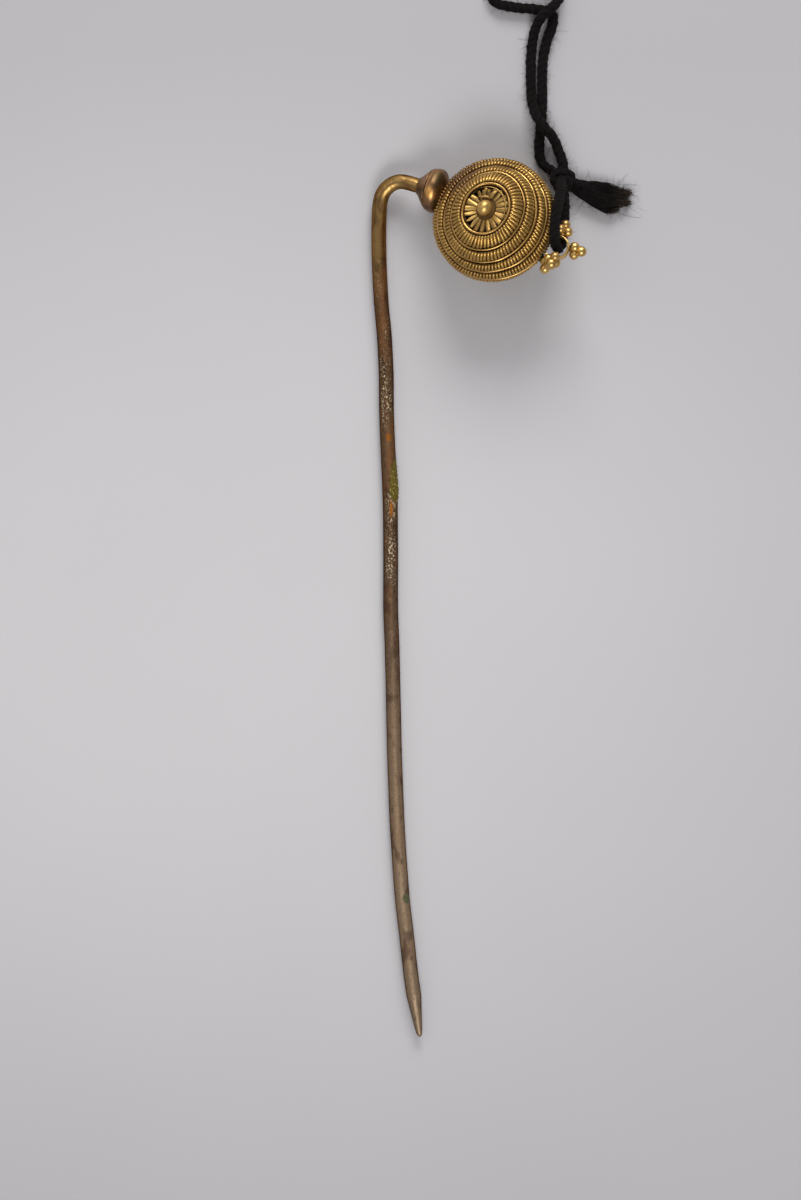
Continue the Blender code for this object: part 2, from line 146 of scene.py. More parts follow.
class Finish:
    """A material in the making: its node tree, its Principled shader and what feeds them."""

    def __init__(self, name, **fixed):
        """Sets the sockets that are the same all over; in a name, _ stands for a space."""
        self.material = bpy.data.materials.new(name)
        self.material.use_nodes = True
        self.tree = self.material.node_tree
        self.shader = self.tree.nodes["Principled BSDF"]
        for socket, value in fixed.items():
            self.shader.inputs[socket.replace("_", " ")].default_value = value
        self.place = self.node("ShaderNodeTexCoord", {}, {}, "Object")

    @staticmethod
    def add(tree, kind, settings, values, output=0):
        """Adds a node: its settings first, then the values or links of its sockets."""
        made = tree.nodes.new(kind)
        stops = settings.pop("stops", None)
        for setting, value in settings.items():
            setattr(made, setting, value)
        if stops:
            elements = made.color_ramp.elements
            while len(elements) < len(stops):
                elements.new(0.5)
            for element, (position, colour) in zip(elements, stops):
                element.position, element.color = position, (*colour, 1.0)
        for socket, value in values.items():
            if isinstance(value, Flow):
                tree.links.new(value.socket, made.inputs[socket])
            else:
                made.inputs[socket].default_value = value
        return Flow(tree, made.outputs[output])

    def node(self, kind, settings, values, output=0):
        """Adds a node to this finish's own tree."""
        return self.add(self.tree, kind, dict(settings), values, output)

    def noise(self, size, detail=4.0, stretch=(1.0, 1.0, 1.0), roughness=0.55):
        """Cloudy noise from 0 to 1 whose blotches are about one size across, in metres."""
        place = self.node("ShaderNodeMapping", {}, {"Vector": self.place, "Scale": stretch})
        values = {"Vector": place, "Scale": 1.0 / size, "Detail": detail, "Roughness": roughness}
        return self.node("ShaderNodeTexNoise", {}, values)

    def away_from(self, place):
        """How far each point lies from one place, in metres."""
        settings, values = {"operation": "DISTANCE"}, {0: self.place, 1: place}
        return self.node("ShaderNodeVectorMath", settings, values, "Value")

    def along_y(self):
        """Each point's Y, in metres."""
        return self.node("ShaderNodeSeparateXYZ", {}, {"Vector": self.place}, "Y")

    def shade(self, name):
        """A number stored on the piece's points."""
        return self.node("ShaderNodeAttribute", {"attribute_name": name}, {}, "Fac")

    def broken(self, name, specks, amount, low, high):
        """A stored shade with a broken edge: the shade plus an amount times the specks less a
        half, ramped from low to high."""
        return (self.shade(name) + (specks - 0.5) * amount).ramp(low, high)

    def mix(self, share, low, high):
        """The low colour where share is 0 and the high colour where it is 1."""
        low = low if isinstance(low, Flow) else (*low, 1.0)
        high = high if isinstance(high, Flow) else (*high, 1.0)
        values = {0: share, 6: low, 7: high}
        return self.node("ShaderNodeMix", {"data_type": "RGBA"}, values, 2)

    def feed(self, **flows):
        """Links each flow to the shader's socket of that name; _ stands for a space."""
        for socket, value in flows.items():
            self.tree.links.new(value.socket, self.shader.inputs[socket.replace("_", " ")])

    def bump(self, height, distance, strength=1.0):
        """Tilts the surface as if a height of 1 stood one distance proud, in metres."""
        values = {"Height": height, "Distance": distance, "Strength": strength}
        self.feed(Normal=self.node("ShaderNodeBump", {}, values))


# Painted light: the paper is palest beside the shaft, as a painted pool of light, with painted
# shade making it duller to the sides and towards both ends.
PAPER_IN_PAINTED_LIGHT = (0.60, 0.582, 0.592)
PAPER_IN_PAINTED_SHADE = (0.485, 0.472, 0.485)
PAPER_PAINTED_SHADE_AT_ENDS = (0.40, 0.39, 0.405)
PAINTED_LIGHT_PLACE = (-0.045, 0.0, 0.0)
TABLE_SIZE = 6.0

table_finish = Finish("table_paper", Roughness=0.85)
table_cloud = table_finish.noise(0.05, detail=2.0).ramp(0.3, 0.7)
table_light_falloff = table_finish.away_from(PAINTED_LIGHT_PLACE).ramp(0.02, 0.13)
table_shade = (table_light_falloff * 0.9 + table_cloud * 0.1).clipped()
table_tone = table_finish.mix(table_shade, PAPER_IN_PAINTED_LIGHT, PAPER_IN_PAINTED_SHADE)
table_along = table_finish.along_y() + 0.010
table_end_falloff = (table_along * table_along * 110.0).clipped()
table_finish.feed(Base_Color=table_finish.mix(table_end_falloff * 0.5, table_tone, PAPER_PAINTED_SHADE_AT_ENDS))
bpy.ops.mesh.primitive_plane_add(size=TABLE_SIZE)
table = bpy.context.object
table.name = "table"
table.data.materials.append(table_finish.material)

# ---------------------------------------------------------------------------------------------
# Tie cord. One length of black cotton of three plies: it goes up from the knot, through the metal
# loop and back, then away from the head in a long loop that comes back to the knot. Its two cut
# ends are frayed, and single fibres stand off the whole of it. The valleys between its plies carry
# painted shade.

CORD_DIAMETER = 1.4 * MM
CORD_STEP = 0.12 * MM
CORD_TWIST = 2 * math.pi / (3.4 * MM)

# Places in millimetres: up from the knot, through the metal loop and back.
LOWER_ROUTE = (
    (13.0, 65.3, 3.0), (12.75, 63.8, 5.9), (12.4, 62.2, 8.8), (12.0, 60.5, 11.3),
    (11.75, 58.9, 12.2), (11.6, 57.2, 12.6), (11.55, 55.7, 12.8), (11.7, 54.7, 12.3),
    (12.0, 54.25, 11.1), (12.3, 54.2, 9.9), (12.8, 55.3, 8.5), (13.15, 57.5, 6.8),
    (13.3, 60.0, 5.2), (13.3, 62.0, 3.8), (13.2, 64.0, 2.5), (13.0, 65.3, 2.0),
)
# Away from the head, round the far bend and back, resting on the table but where it crosses.
UPPER_ROUTE = (
    (13.0, 65.3, 1.9), (11.5, 66.7, 1.3), (10.1, 67.8, 0.8), (9.45, 69.5, 0.75),
    (9.55, 72.0, 0.75), (9.75, 74.3, 0.75), (9.9, 77.4, 0.75), (9.9, 81.0, 0.75),
    (10.1, 84.6, 0.75), (10.75, 87.4, 0.75), (11.5, 89.3, 0.75), (11.55, 90.9, 0.75),
    (10.6, 91.7, 0.75), (8.6, 92.0, 0.75), (5.4, 92.3, 0.75), (2.9, 92.9, 0.75),
    (1.9, 94.3, 0.75), (2.7, 96.0, 0.75), (5.6, 97.0, 0.75), (9.3, 96.9, 0.75),
    (11.9, 95.8, 0.75), (12.6, 94.0, 1.2), (11.7, 92.4, 2.4), (10.1, 91.0, 2.55),
    (8.95, 89.2, 1.7), (8.35, 86.6, 0.8), (8.15, 83.6, 0.75), (8.15, 80.5, 0.75),
    (8.3, 77.6, 1.0), (9.0, 75.2, 2.3), (10.2, 73.5, 2.5), (11.4, 72.1, 1.7),
    (12.5, 69.9, 0.9), (13.2, 67.6, 1.3), (13.0, 65.3, 2.0),
)
# The two ends, which lie under the frayed yarns.
END_ROUTES = (
    ((13.0, 65.3, 2.3), (14.6, 64.9, 2.0), (16.4, 64.4, 1.3), (18.2, 64.0, 0.95)),
    ((13.0, 65.3, 1.7), (14.5, 64.3, 1.3), (16.2, 63.2, 0.9), (17.8, 62.3, 0.8)),
)


def smooth_route(points, spacing):
    """Points about one spacing apart on a Catmull-Rom curve through the route's points."""
    knots = np.array(points) * MM
    ends = np.vstack([2 * knots[0] - knots[1], knots, 2 * knots[-1] - knots[-2]])
    route = []
    for a, b, c, d in zip(ends, ends[1:], ends[2:], ends[3:]):
        steps = max(1, round(float(np.linalg.norm(c - b)) / spacing))
        t = (np.arange(steps) / steps)[:, None]
        cubic = 3 * b - 3 * c + d - a
        square = 2 * a - 5 * b + 4 * c - d
        route.append(0.5 * (2 * b + (c - a) * t + square * t**2 + cubic * t**3))
    return np.vstack([*route, knots[-1:]])


def unit(vectors):
    """Each vector divided by its own length."""
    return vectors / np.maximum(np.linalg.norm(vectors, axis=-1, keepdims=True), 1e-12)


def dot(a, b):
    """The parts of a times those of b, added up for each vector."""
    return (a * b).sum(axis=-1)


def angles_round(count):
    """Equal steps once round a circle, in radians."""
    return np.linspace(0, 2 * math.pi, count, endpoint=False)


def gone_along(path):
    """How far along a path each station lies: the lengths of the steps before it, added up."""
    return np.concatenate([[0], np.cumsum(np.linalg.norm(np.diff(path, axis=0), axis=1))])


def ripple(points, size, seed, waves=14):
    """Smooth noise, mostly from -1 to 1: sine waves of about one size in random directions,
    added up and divided by the root of twice their number."""
    rng = np.random.default_rng(seed)
    ways = unit(rng.normal(size=(waves, 3))) * rng.uniform(0.6, 1.7, (waves, 1))
    phases = rng.uniform(0, 2 * math.pi, waves)
    return np.sin(points @ ways.T * (2 * math.pi / size) + phases).sum(-1) / math.sqrt(waves * 2)


def carried_side(path):
    """A direction square to the path at each station, carried along with the least turning."""
    tangents = unit(np.gradient(path, axis=0))
    side = unit(np.cross(tangents[0], (0.31, 0.17, 0.93)))
    sides = []
    for tangent in tangents:
        side = unit(side - tangent * dot(side, tangent))
        sides.append(side)
    return np.array(sides)


def swept(path, side, outline_side, outline_up):
    """A section carried along a path. The section's offsets along the side direction and along
    the one square to it and to the path are arrays of stations by section points."""
    tangents = unit(np.gradient(path, axis=-2))
    side = unit(side - tangents * dot(side, tangents)[..., None])
    up = np.cross(tangents, side)
    across = side[..., None, :] * outline_side[..., None]
    return path[..., None, :] + across + up[..., None, :] * outline_up[..., None]


def surface(name, grid, finish, wrap_rows=False, shades=None):
    """A closed mesh from points on a grid: copies, rows, columns, xyz. Columns run round each
    copy and rows run along it; unless the rows meet too, each end is closed by a fan."""
    grid = grid.reshape(-1, *grid.shape[-3:])
    copies, rows, columns = grid.shape[:3]
    numbers = np.arange(copies * rows * columns).reshape(copies, rows, columns)
    points = grid.reshape(-1, 3)
    ring = np.concatenate([numbers, numbers[:, :, :1]], axis=2)
    if wrap_rows:
        ring = np.concatenate([ring, ring[:, :1]], axis=1)
    cells = (ring[:, :-1, :-1], ring[:, :-1, 1:], ring[:, 1:, 1:], ring[:, 1:, :-1])
    quads = np.stack(cells, axis=-1).reshape(-1, 4)
    faces = quads.tolist()
    middles = np.zeros((0, 3))
    if not wrap_rows:
        middles = np.concatenate([grid[:, 0].mean(axis=1), grid[:, -1].mean(axis=1)])
        first = len(points) + np.arange(copies)[:, None] + np.zeros(columns, int)
        start = np.stack([first, ring[:, 0, 1:], ring[:, 0, :-1]], axis=-1)
        end = np.stack([first + copies, ring[:, -1, :-1], ring[:, -1, 1:]], axis=-1)
        faces += start.reshape(-1, 3).tolist() + end.reshape(-1, 3).tolist()
    a, b, c, d = (points[quads[:, corner]] for corner in range(4))
    if dot(a, np.cross(b - a, c - a) + np.cross(c - a, d - a)).sum() < 0:
        faces = [face[::-1] for face in faces]
    mesh = bpy.data.meshes.new(name)
    mesh.from_pydata(np.vstack([points, middles]), [], faces)
    for shade, values in (shades or {}).items():
        stored = mesh.attributes.new(shade, "FLOAT", "POINT")
        values = np.broadcast_to(values, grid.shape[:3])
        ends = [] if wrap_rows else [values[:, 0].mean(axis=1), values[:, -1].mean(axis=1)]
        stored.data.foreach_set("value", np.concatenate([values.ravel(), *ends]).astype(np.float32))
    mesh.shade_smooth()
    mesh.materials.append(finish.material)
    made = bpy.data.objects.new(name, mesh)
    scene.collection.objects.link(made)
    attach(made, "root")
    return made


def ply_cord(path, radius):
    """Three plies twisted together. Round the cord the radius is four fifths of the whole plus
    a fifth times the cosine of one and a half times the angle from the twist, raised to a low
    power, which leaves three sharp valleys. A finer wave lays the yarns the other way, and noise
    swells the lot. It also gives how high each point stands, from 0 in a valley to 1, which the
    finish uses for painted shade in the valleys."""
    around = angles_round(36)
    along = gone_along(path)[:, None]
    lobes = np.abs(np.cos(1.5 * (around - CORD_TWIST * along))) ** 0.55
    yarns = np.sin(17 * around + 2.6 * CORD_TWIST * along)
    rings = radius * (0.80 + 0.20 * lobes + 0.018 * yarns)
    grid = swept(path, carried_side(path), rings * np.cos(around), rings * np.sin(around))
    swell = 1.15 + 0.08 * ripple(grid, 2.2 * MM, 5) + 0.035 * ripple(grid, 0.5 * MM, 6)
    grid = path[:, None] + (grid - path[:, None]) * swell[..., None]
    grid[..., 2] = np.maximum(grid[..., 2], 0.0)
    return grid, lobes


# Dull dyed cotton with a slight sheen of loose fibre, and painted shade in the valleys between
# plies. The plies' stored shade is 0 in a valley, and 'fray' is 1 at the faded tips of the yarns.
COTTON_VALLEY_SHADE = (0.0012, 0.0010, 0.0011)
COTTON_LIT_CREST = (0.0062, 0.0048, 0.0048)
COTTON_FADED = (0.075, 0.050, 0.034)
cord_black = Finish(
    "black_cotton", Roughness=0.95, Specular_IOR_Level=0.10, Sheen_Weight=0.015, Sheen_Roughness=0.6
)
cord_fibre = cord_black.noise(0.25 * MM, detail=5.0, stretch=(1.0, 0.35, 1.0))
cord_lit_and_fibre = (cord_black.shade("ply_light") * 0.8 + cord_fibre * 0.4).clipped()
cord_tone = cord_black.mix(cord_lit_and_fibre, COTTON_VALLEY_SHADE, COTTON_LIT_CREST)
cord_fray = cord_black.shade("fray").clipped()
cord_black.feed(Base_Color=cord_black.mix(cord_fray, cord_tone, COTTON_FADED))
cord_black.bump(cord_fibre, 0.06 * MM, 0.6)

first_end, second_end = END_ROUTES
whole_route = (*first_end[:0:-1], *LOWER_ROUTE[:-1], *UPPER_ROUTE, *second_end[1:])
cord_path = smooth_route(whole_route, CORD_STEP)
cord_grid, cord_ply_light = ply_cord(cord_path, CORD_DIAMETER / 2)
tie_cord = surface("tie_cord", cord_grid, cord_black, shades={"ply_light": cord_ply_light, "fray": 0.0})
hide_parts("cord_lower_loop", "cord_upper_loop")

# Knot: an overhand knot pulled tight. Its line goes twice round its middle while it goes three
# times out and in and three times up and down.
KNOT_CENTRE = np.array((13.0, 65.3, 2.0)) * MM
KNOT_REACH, KNOT_OUT_AND_IN, KNOT_RISE = 0.92 * MM, 0.42 * MM, 0.72 * MM
KNOT_CORD_RADIUS = 0.66 * MM
knot_t = np.linspace(0, 2 * math.pi, 420)
knot_turn = 2 * knot_t + 0.6
knot_reach = KNOT_REACH + KNOT_OUT_AND_IN * np.cos(3 * knot_t)
knot_places = (knot_reach * np.cos(knot_turn), 1.12 * knot_reach * np.sin(knot_turn))
knot_path = np.stack([*knot_places, KNOT_RISE * np.sin(3 * knot_t)], axis=-1)
knot_path = knot_path * (1 + 0.12 * ripple(knot_path, 1.8 * MM, 8)[:, None])
knot_grid, knot_ply_light = ply_cord(KNOT_CENTRE + knot_path, KNOT_CORD_RADIUS)
cord_knot = surface("cord_knot_wraps", knot_grid, cord_black, shades={"ply_light": knot_ply_light, "fray": 0.0})
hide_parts("cord_knot")

# Frayed ends: past the knot the two cut ends fan out side by side into loose yarns, black at
# the root and faded to brown where they were cut.

rng = np.random.default_rng(11)


def bent_hairs(roots, ways, lengths, bend):
    """Thin hairs as paths of six stations: root + (way x t + curl x t squared) x length, where t
    runs from 0 to 1 and the curl is the bend in a random direction square to the way."""
    t = np.linspace(0, 1, 6)[None, :, None]
    curl = unit(np.cross(ways, rng.normal(size=ways.shape)))[:, None, :] * bend[:, None, None]
    return roots[:, None] + (ways[:, None] * t + curl * t**2) * lengths[:, None, None]


def hair_grid(paths, radius, sides=4):
    """Each hair is a rod of a few sides whose radius falls evenly to about a third at its tip."""
    around = angles_round(sides)
    taper = np.linspace(1.0, 0.35, paths.shape[1])[None, :, None] * radius[:, None, None]
    side = np.cross(np.gradient(paths, axis=1), (0.3, 0.2, 1.0))
    return swept(paths, side, taper * np.cos(around), taper * np.sin(around))


# A yarn's share says how far to one side it lies and its level how high, each from -1 to 1.
# The places, half widths and waves are in millimetres.
TAIL_YARNS = 520
YARN_STATIONS = 12
TAIL_ROOT, TAIL_ROOT_HALF = (14.2, 64.45, 1.35), (0.75, 0.55)
TAIL_TIP, TAIL_TIP_HALF = (22.9, 62.35, 0.82), (1.75, 0.62)
TAIL_LOWEST = 0.12 * MM
yarn_share = rng.uniform(-1, 1, TAIL_YARNS)
yarn_level = rng.uniform(-1, 1, TAIL_YARNS) * np.sqrt(1 - 0.6 * yarn_share**2)
yarn_root = (
    TAIL_ROOT[0] + rng.uniform(0, 2.2, TAIL_YARNS),
    TAIL_ROOT[1] + TAIL_ROOT_HALF[0] * yarn_share,
    TAIL_ROOT[2] + TAIL_ROOT_HALF[1] * yarn_level,
)
yarn_tip = (
    TAIL_TIP[0] - 1.6 * np.clip(-yarn_share - 0.35, 0, 1) + rng.normal(0, 0.28, TAIL_YARNS),
    TAIL_TIP[1] + TAIL_TIP_HALF[0] * yarn_share + rng.normal(0, 0.16, TAIL_YARNS),
    TAIL_TIP[2] + TAIL_TIP_HALF[1] * yarn_level,
)
yarn_t = np.linspace(0, 1, YARN_STATIONS)
yarn_clump = np.round(yarn_share * 3.2)[:, None]
yarn_sag = 0.55 * (yarn_share[:, None] - 1) * np.sin(math.pi * yarn_t)
yarn_wave = 0.50 * np.sin(5.5 * yarn_t + 1.9 * yarn_clump) * yarn_t
yarn_kink = 0.12 * np.sin(9 * yarn_t + rng.uniform(0, 6, (TAIL_YARNS, 1)))
yarn_paths = np.stack(yarn_root, axis=-1)[:, None] * (1 - yarn_t[:, None])
yarn_paths = (yarn_paths + np.stack(yarn_tip, axis=-1)[:, None] * yarn_t[:, None]) * MM
yarn_paths[..., 0] += 0.85 * MM * np.sin(2.3 * yarn_clump) * yarn_t**2
yarn_paths[..., 1] += (yarn_sag + yarn_wave + yarn_kink) * MM
yarn_paths[..., 2] = np.maximum(yarn_paths[..., 2], TAIL_LOWEST)
yarn_radius = rng.uniform(0.07, 0.13, TAIL_YARNS) * MM
yarn_fray = np.clip((yarn_t - 0.78) / 0.22, 0, 1) * rng.uniform(0.1, 1.0, (TAIL_YARNS, 1))
# The tail yarns carry the painted valley shade too: those in the middle of the bundle are darkest.
frayed_ends = surface(
    "frayed_ends", hair_grid(yarn_paths, yarn_radius), cord_black,
    shades={"ply_light": np.abs(yarn_level)[:, None, None], "fray": yarn_fray[..., None]},
)
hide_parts("cord_tail")

# Fuzz: single fibres that stand off the whole cord. The first of them grow from the frayed
# yarns and are longer, and a very few of those are longest of all.
FUZZ_HAIRS = 3600
TAIL_HAIRS = 700
LONGEST_HAIRS = 4
LONGEST = 3.2 * MM
FUZZ_LOWEST = 0.03 * MM
fuzz_row = rng.integers(0, len(cord_grid), FUZZ_HAIRS)
fuzz_column = rng.integers(0, cord_grid.shape[1], FUZZ_HAIRS)
fuzz_root = cord_grid[fuzz_row, fuzz_column]
fuzz_out = unit(fuzz_root - cord_path[fuzz_row])
tail_places = rng.integers(0, TAIL_YARNS, TAIL_HAIRS), rng.integers(3, YARN_STATIONS, TAIL_HAIRS)
fuzz_root[:TAIL_HAIRS] = yarn_paths[tail_places]
fuzz_out[:TAIL_HAIRS] = unit(rng.normal(size=(TAIL_HAIRS, 3)) + (0.6, 0.0, 0.2))
fuzz_way = unit(fuzz_out + 0.9 * rng.normal(size=(FUZZ_HAIRS, 3)))
fuzz_length = rng.gamma(2.0, 0.34, FUZZ_HAIRS) * MM
fuzz_length[:TAIL_HAIRS] *= 1.6
fuzz_length[:LONGEST_HAIRS] = LONGEST
fuzz_paths = bent_hairs(fuzz_root, fuzz_way, fuzz_length, rng.uniform(-1.1, 1.1, FUZZ_HAIRS))
fuzz_paths[..., 2] = np.maximum(fuzz_paths[..., 2], FUZZ_LOWEST)
fuzz_radius = rng.uniform(0.014, 0.030, FUZZ_HAIRS) * MM
cord_fuzz = surface(
    "cord_fuzz", hair_grid(fuzz_paths, fuzz_radius, sides=3), cord_black,
    shades={"ply_light": 1.0, "fray": 0.25},
)

# ---------------------------------------------------------------------------------------------
# Head: wires. Each dome is built from plain round wires with coiled wire between them. The
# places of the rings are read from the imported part, in the head's own axes.

girdle_low, girdle_high = (np.array(corner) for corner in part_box("girdle_wire"))
head_centre = (girdle_low + girdle_high) / 2
head_axis = -unit(np.array(frame["record"]["mounts"][0]["axis"]))


def packed_corners(name):
    """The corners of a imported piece, a row of X, Y and Z for each."""
    mesh = frame["nodes"][name].data
    corners = np.empty(len(mesh.vertices) * 3)
    mesh.vertices.foreach_get("co", corners)
    return corners.reshape(-1, 3)


def middle_of(name):
    """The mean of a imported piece's corners, which lies on the axis of a turned piece."""
    return packed_corners(name).mean(axis=0)


to_collar = middle_of("collar_neck") - middle_of("cord_loop")
to_collar = unit(to_collar - head_axis * dot(to_collar, head_axis))
head_basis = np.stack([to_collar, np.cross(head_axis, to_collar), head_axis])


def in_head(points):
    """Points in the head's own axes: towards the collar, across, and up from the girdle."""
    return (points - head_centre) @ head_basis.T


# The head is round at the girdle and a little oval at the crown, narrower towards the collar.
CROWN_NARROWING = 0.126
NARROWED_FROM = 0.62
crown_wire_levels = in_head(packed_corners("front_wire_1"))[:, 2]
dome_height = (crown_wire_levels.min() + crown_wire_levels.max()) / 2


def narrowed(height):
    """The head's width towards the collar over its width across: 1 less the narrowing times the
    power of one and a half of the height's share of the level where the narrowing is full."""
    share = np.minimum(1.0, np.abs(height) / (NARROWED_FROM * dome_height))
    return 1.0 - CROWN_NARROWING * share**1.5


def section_of(points):
    """Points as their distance off the head's axis, with the oval undone, and their height."""
    x, y, height = np.moveaxis(in_head(points), -1, 0)
    return np.stack([np.hypot(x / narrowed(height), y), height], axis=-1)


def node_section(name):
    """The section of a packed ring: distance off the head's axis, and height, of each corner."""
    return section_of(packed_corners(name))


def ring_middle(name):
    """The middle of a packed ring's section, half way between its least and its most."""
    section = node_section(name)
    return (section.min(axis=0) + section.max(axis=0)) / 2


def on_head(radius, turn, height):
    """Points at a distance off the head's axis, an angle round it from the collar, and a height."""
    across = radius * np.cos(turn) * narrowed(height)
    local = np.stack(np.broadcast_arrays(across, radius * np.sin(turn), height), axis=-1)
    return head_centre + local @ head_basis


# Stains on the gilding, each with its middle and reach in millimetres, its share and its colour:
# brown beside the collar, green by the metal loop's foot, and two of rust on the rim.
STAINS = (
    ((-2.6, 65.4, 8.6), 4.6, 0.75, (0.19, 0.085, 0.045)),
    ((9.2, 53.4, 9.8), 1.9, 0.95, (0.06, 0.11, 0.075)),
    ((-3.2, 50.9, 8.6), 1.5, 0.6, (0.42, 0.12, 0.03)),
    ((5.6, 50.2, 8.0), 1.3, 0.6, (0.42, 0.12, 0.03)),
)
COPPERY = (0.75, 0.50, 0.42)


def gilt_finish(name, gold, worn, dirt_and_shade, low_dirt_and_shade=0.30, high_dirt_and_shade=0.78, base_rough=0.0):
    """Old fire gilding: bright on the crests, worn to a browner metal in clouds, coppery and
    tarnished in spots. The dirt colour tints the tarnish, and it also fills the hollows as dirt with
    painted shade, below the low threshold and fading up to the high one. The stored crest shade is
    1 on what stands proud and 0 in a hollow; it paints light on the crests and shade in the hollows."""
    made = Finish(name, Metallic=1.0)
    clouds = made.noise(3.2 * MM, detail=6.0, roughness=0.62).ramp(0.42, 0.66)
    specks = made.noise(0.35 * MM, detail=4.0, roughness=0.7)
    proud = made.broken("lit_and_clean", specks, 0.55, low_dirt_and_shade, high_dirt_and_shade)
    tarnish = specks.ramp(0.60, 0.76) * 0.65
    metal = made.mix(tarnish, made.mix(clouds, gold, worn), dirt_and_shade)
    copper = made.noise(1.1 * MM, detail=5.0).ramp(0.60, 0.72) * 0.35
    metal = made.mix(copper, metal, [part * share for part, share in zip(gold, COPPERY)])
    for place, reach, share, tone in STAINS:
        reach = reach * MM
        away = made.away_from(tuple(v * MM for v in place)) + (specks - 0.5) * (0.8 * reach)
        metal = made.mix((1.0 - away.ramp(0.35 * reach, reach)) * share, metal, tone)
    made.feed(Base_Color=made.mix(proud, dirt_and_shade, metal))
    made.feed(Roughness=(0.62 + base_rough - 0.34 * proud + 0.10 * clouds + 0.25 * tarnish).clipped())
    made.feed(Metallic=(0.6 + 0.4 * proud).clipped())
    made.bump(specks, 0.03 * MM, 0.5)
    return made


WIRE_RADIUS = 0.205 * MM
WIRE_WAVER = 0.07 * MM
wire_gilt = gilt_finish(
    "gilt_round_wire", gold=(0.66, 0.40, 0.122), worn=(0.44, 0.25, 0.078),
    dirt_and_shade=(0.155, 0.073, 0.021), low_dirt_and_shade=0.2, high_dirt_and_shade=0.6, base_rough=0.06,
)
coil_gilt = gilt_finish(
    "gilt_coiled_wire", gold=(0.62, 0.390, 0.115), worn=(0.41, 0.243, 0.073),
    dirt_and_shade=(0.155, 0.073, 0.021), base_rough=0.08,
)


def round_wire(name, node, seed):
    """A plain wire bent to a ring by hand: a circle for a section, carried round a circle on the
    head whose distance and height waver with slow noise, as the wire's thickness does."""
    radius, height = ring_middle(node)
    turn, around = angles_round(240)[:, None], angles_round(14)[None, :]
    circle = on_head(radius, turn[:, 0], height)
    waver = WIRE_WAVER * ripple(circle, 5 * MM, seed)[:, None]
    thick = WIRE_RADIUS * (1 + 0.10 * ripple(circle, 2.4 * MM, seed + 1)[:, None])
    side = radius + waver + thick * np.cos(around)
    level = height + 0.6 * waver + thick * np.sin(around)
    # Painted light and shade: the side of each wire facing up and out from the dome is lit, and the
    # side turned in is painted dark, as shade with the dirt of the hollows.
    slope = math.atan2(height, radius * 0.75)
    lit_and_clean = 0.5 + 0.5 * np.cos(around - slope) + 0 * turn
    ring = surface(name, on_head(side, turn, level), wire_gilt, wrap_rows=True, shades={"lit_and_clean": lit_and_clean})
    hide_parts(node)


# The coiled wire's radius is a share of the room each turn has. A band reaches a little past
# its packed coil on both sides, so that it lies against the plain wires.
RIB_STEPS = 20
COIL_WIRE_SHARE = 0.43
COIL_OVERHANG = 0.19 * MM
COIL_DRIFT, COIL_LIFT, COIL_SPREAD, COIL_LEAN = 0.02 * MM, 0.022 * MM, 0.04, 0.10


def coiled_band(name, node, inner_wire, outer_wire, turns, seed):
    """Fine wire wound round a flat core and bent to a ring. In the ring's section the wire's
    line is an oval, half the width times the cosine along it and half the rise times the sine
    across it. It goes once round the oval per turn while the section goes round the head, and
    each turn drifts, lifts, spreads and leans a little by chance, blended into the next."""
    section, middle = node_section(node), ring_middle(node)
    inner, outer = ring_middle(inner_wire), ring_middle(outer_wire)
    along = unit(outer - inner)
    up = np.array((-along[1], along[0])) * np.sign(inner[1])
    half_width, rise = np.ptp(section @ along) / 2, np.ptp(section @ up) / 2
    step = np.arange(turns * RIB_STEPS)
    turn, phase = 2 * math.pi * step / len(step), 2 * math.pi * step / RIB_STEPS
    chance = np.random.default_rng(seed).normal(0, 1, (3, turns + 1))
    this, share = step // RIB_STEPS, (step / RIB_STEPS) % 1
    drift, lift, spread = chance[:, this] * (1 - share) + chance[:, (this + 1) % turns] * share
    wire = COIL_WIRE_SHARE * 2 * math.pi * middle[0] / turns
    wide = (half_width + COIL_OVERHANG - wire) * (1 + COIL_SPREAD * spread)
    line_along = wide * np.cos(phase) + COIL_DRIFT * drift
    line_up = (rise - wire) * np.sin(phase) + COIL_LIFT * lift
    radius = middle[0] + along[0] * line_along + up[0] * line_up
    height = middle[1] + along[1] * line_along + up[1] * line_up
    path = on_head(radius, turn + COIL_LEAN * wire / middle[0] * drift, height)
    ring_way = np.roll(path, -RIB_STEPS, axis=0) - np.roll(path, RIB_STEPS, axis=0)
    tangents = unit(np.roll(path, -1, axis=0) - np.roll(path, 1, axis=0))
    side = unit(ring_way - tangents * dot(ring_way, tangents)[:, None])
    normal = np.cross(tangents, side)
    around = angles_round(9)[None, :, None]
    grid = path[:, None] + wire * (side[:, None] * np.cos(around) + normal[:, None] * np.sin(around))
    # Painted shade with dirt: the wire darkens where it sinks below the band's top, in the gaps between
    # turns.
    proud = (section_of(grid) - middle) @ up / rise
    lit_and_clean = np.clip(0.5 * proud + 0.5, 0, 1) ** 1.6
    band = surface(name, grid, coil_gilt, wrap_rows=True, shades={"lit_and_clean": lit_and_clean})
    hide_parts(node)


BAND_TURNS = {"a": 58, "b": 78, "c": 98, "d": 112}
for face, first_seed in (("front", 100), ("back", 200)):
    wires = [f"{face}_wire_{number}" for number in range(1, 5)]
    for number, wire in enumerate(wires, 1):
        round_wire(f"{face}_plain_wire_{number}", wire, first_seed + number)
    edges = zip(BAND_TURNS.items(), wires, [*wires[1:], "girdle_wire"])
    for (letter, turns), inside, outside in edges:
        name, node = f"{face}_coiled_band_{letter}", f"{face}_coil_{letter}"
        coiled_band(name, node, inside, outside, turns, first_seed + 10 + turns)
round_wire("girdle_round_wire", "girdle_wire", 300)

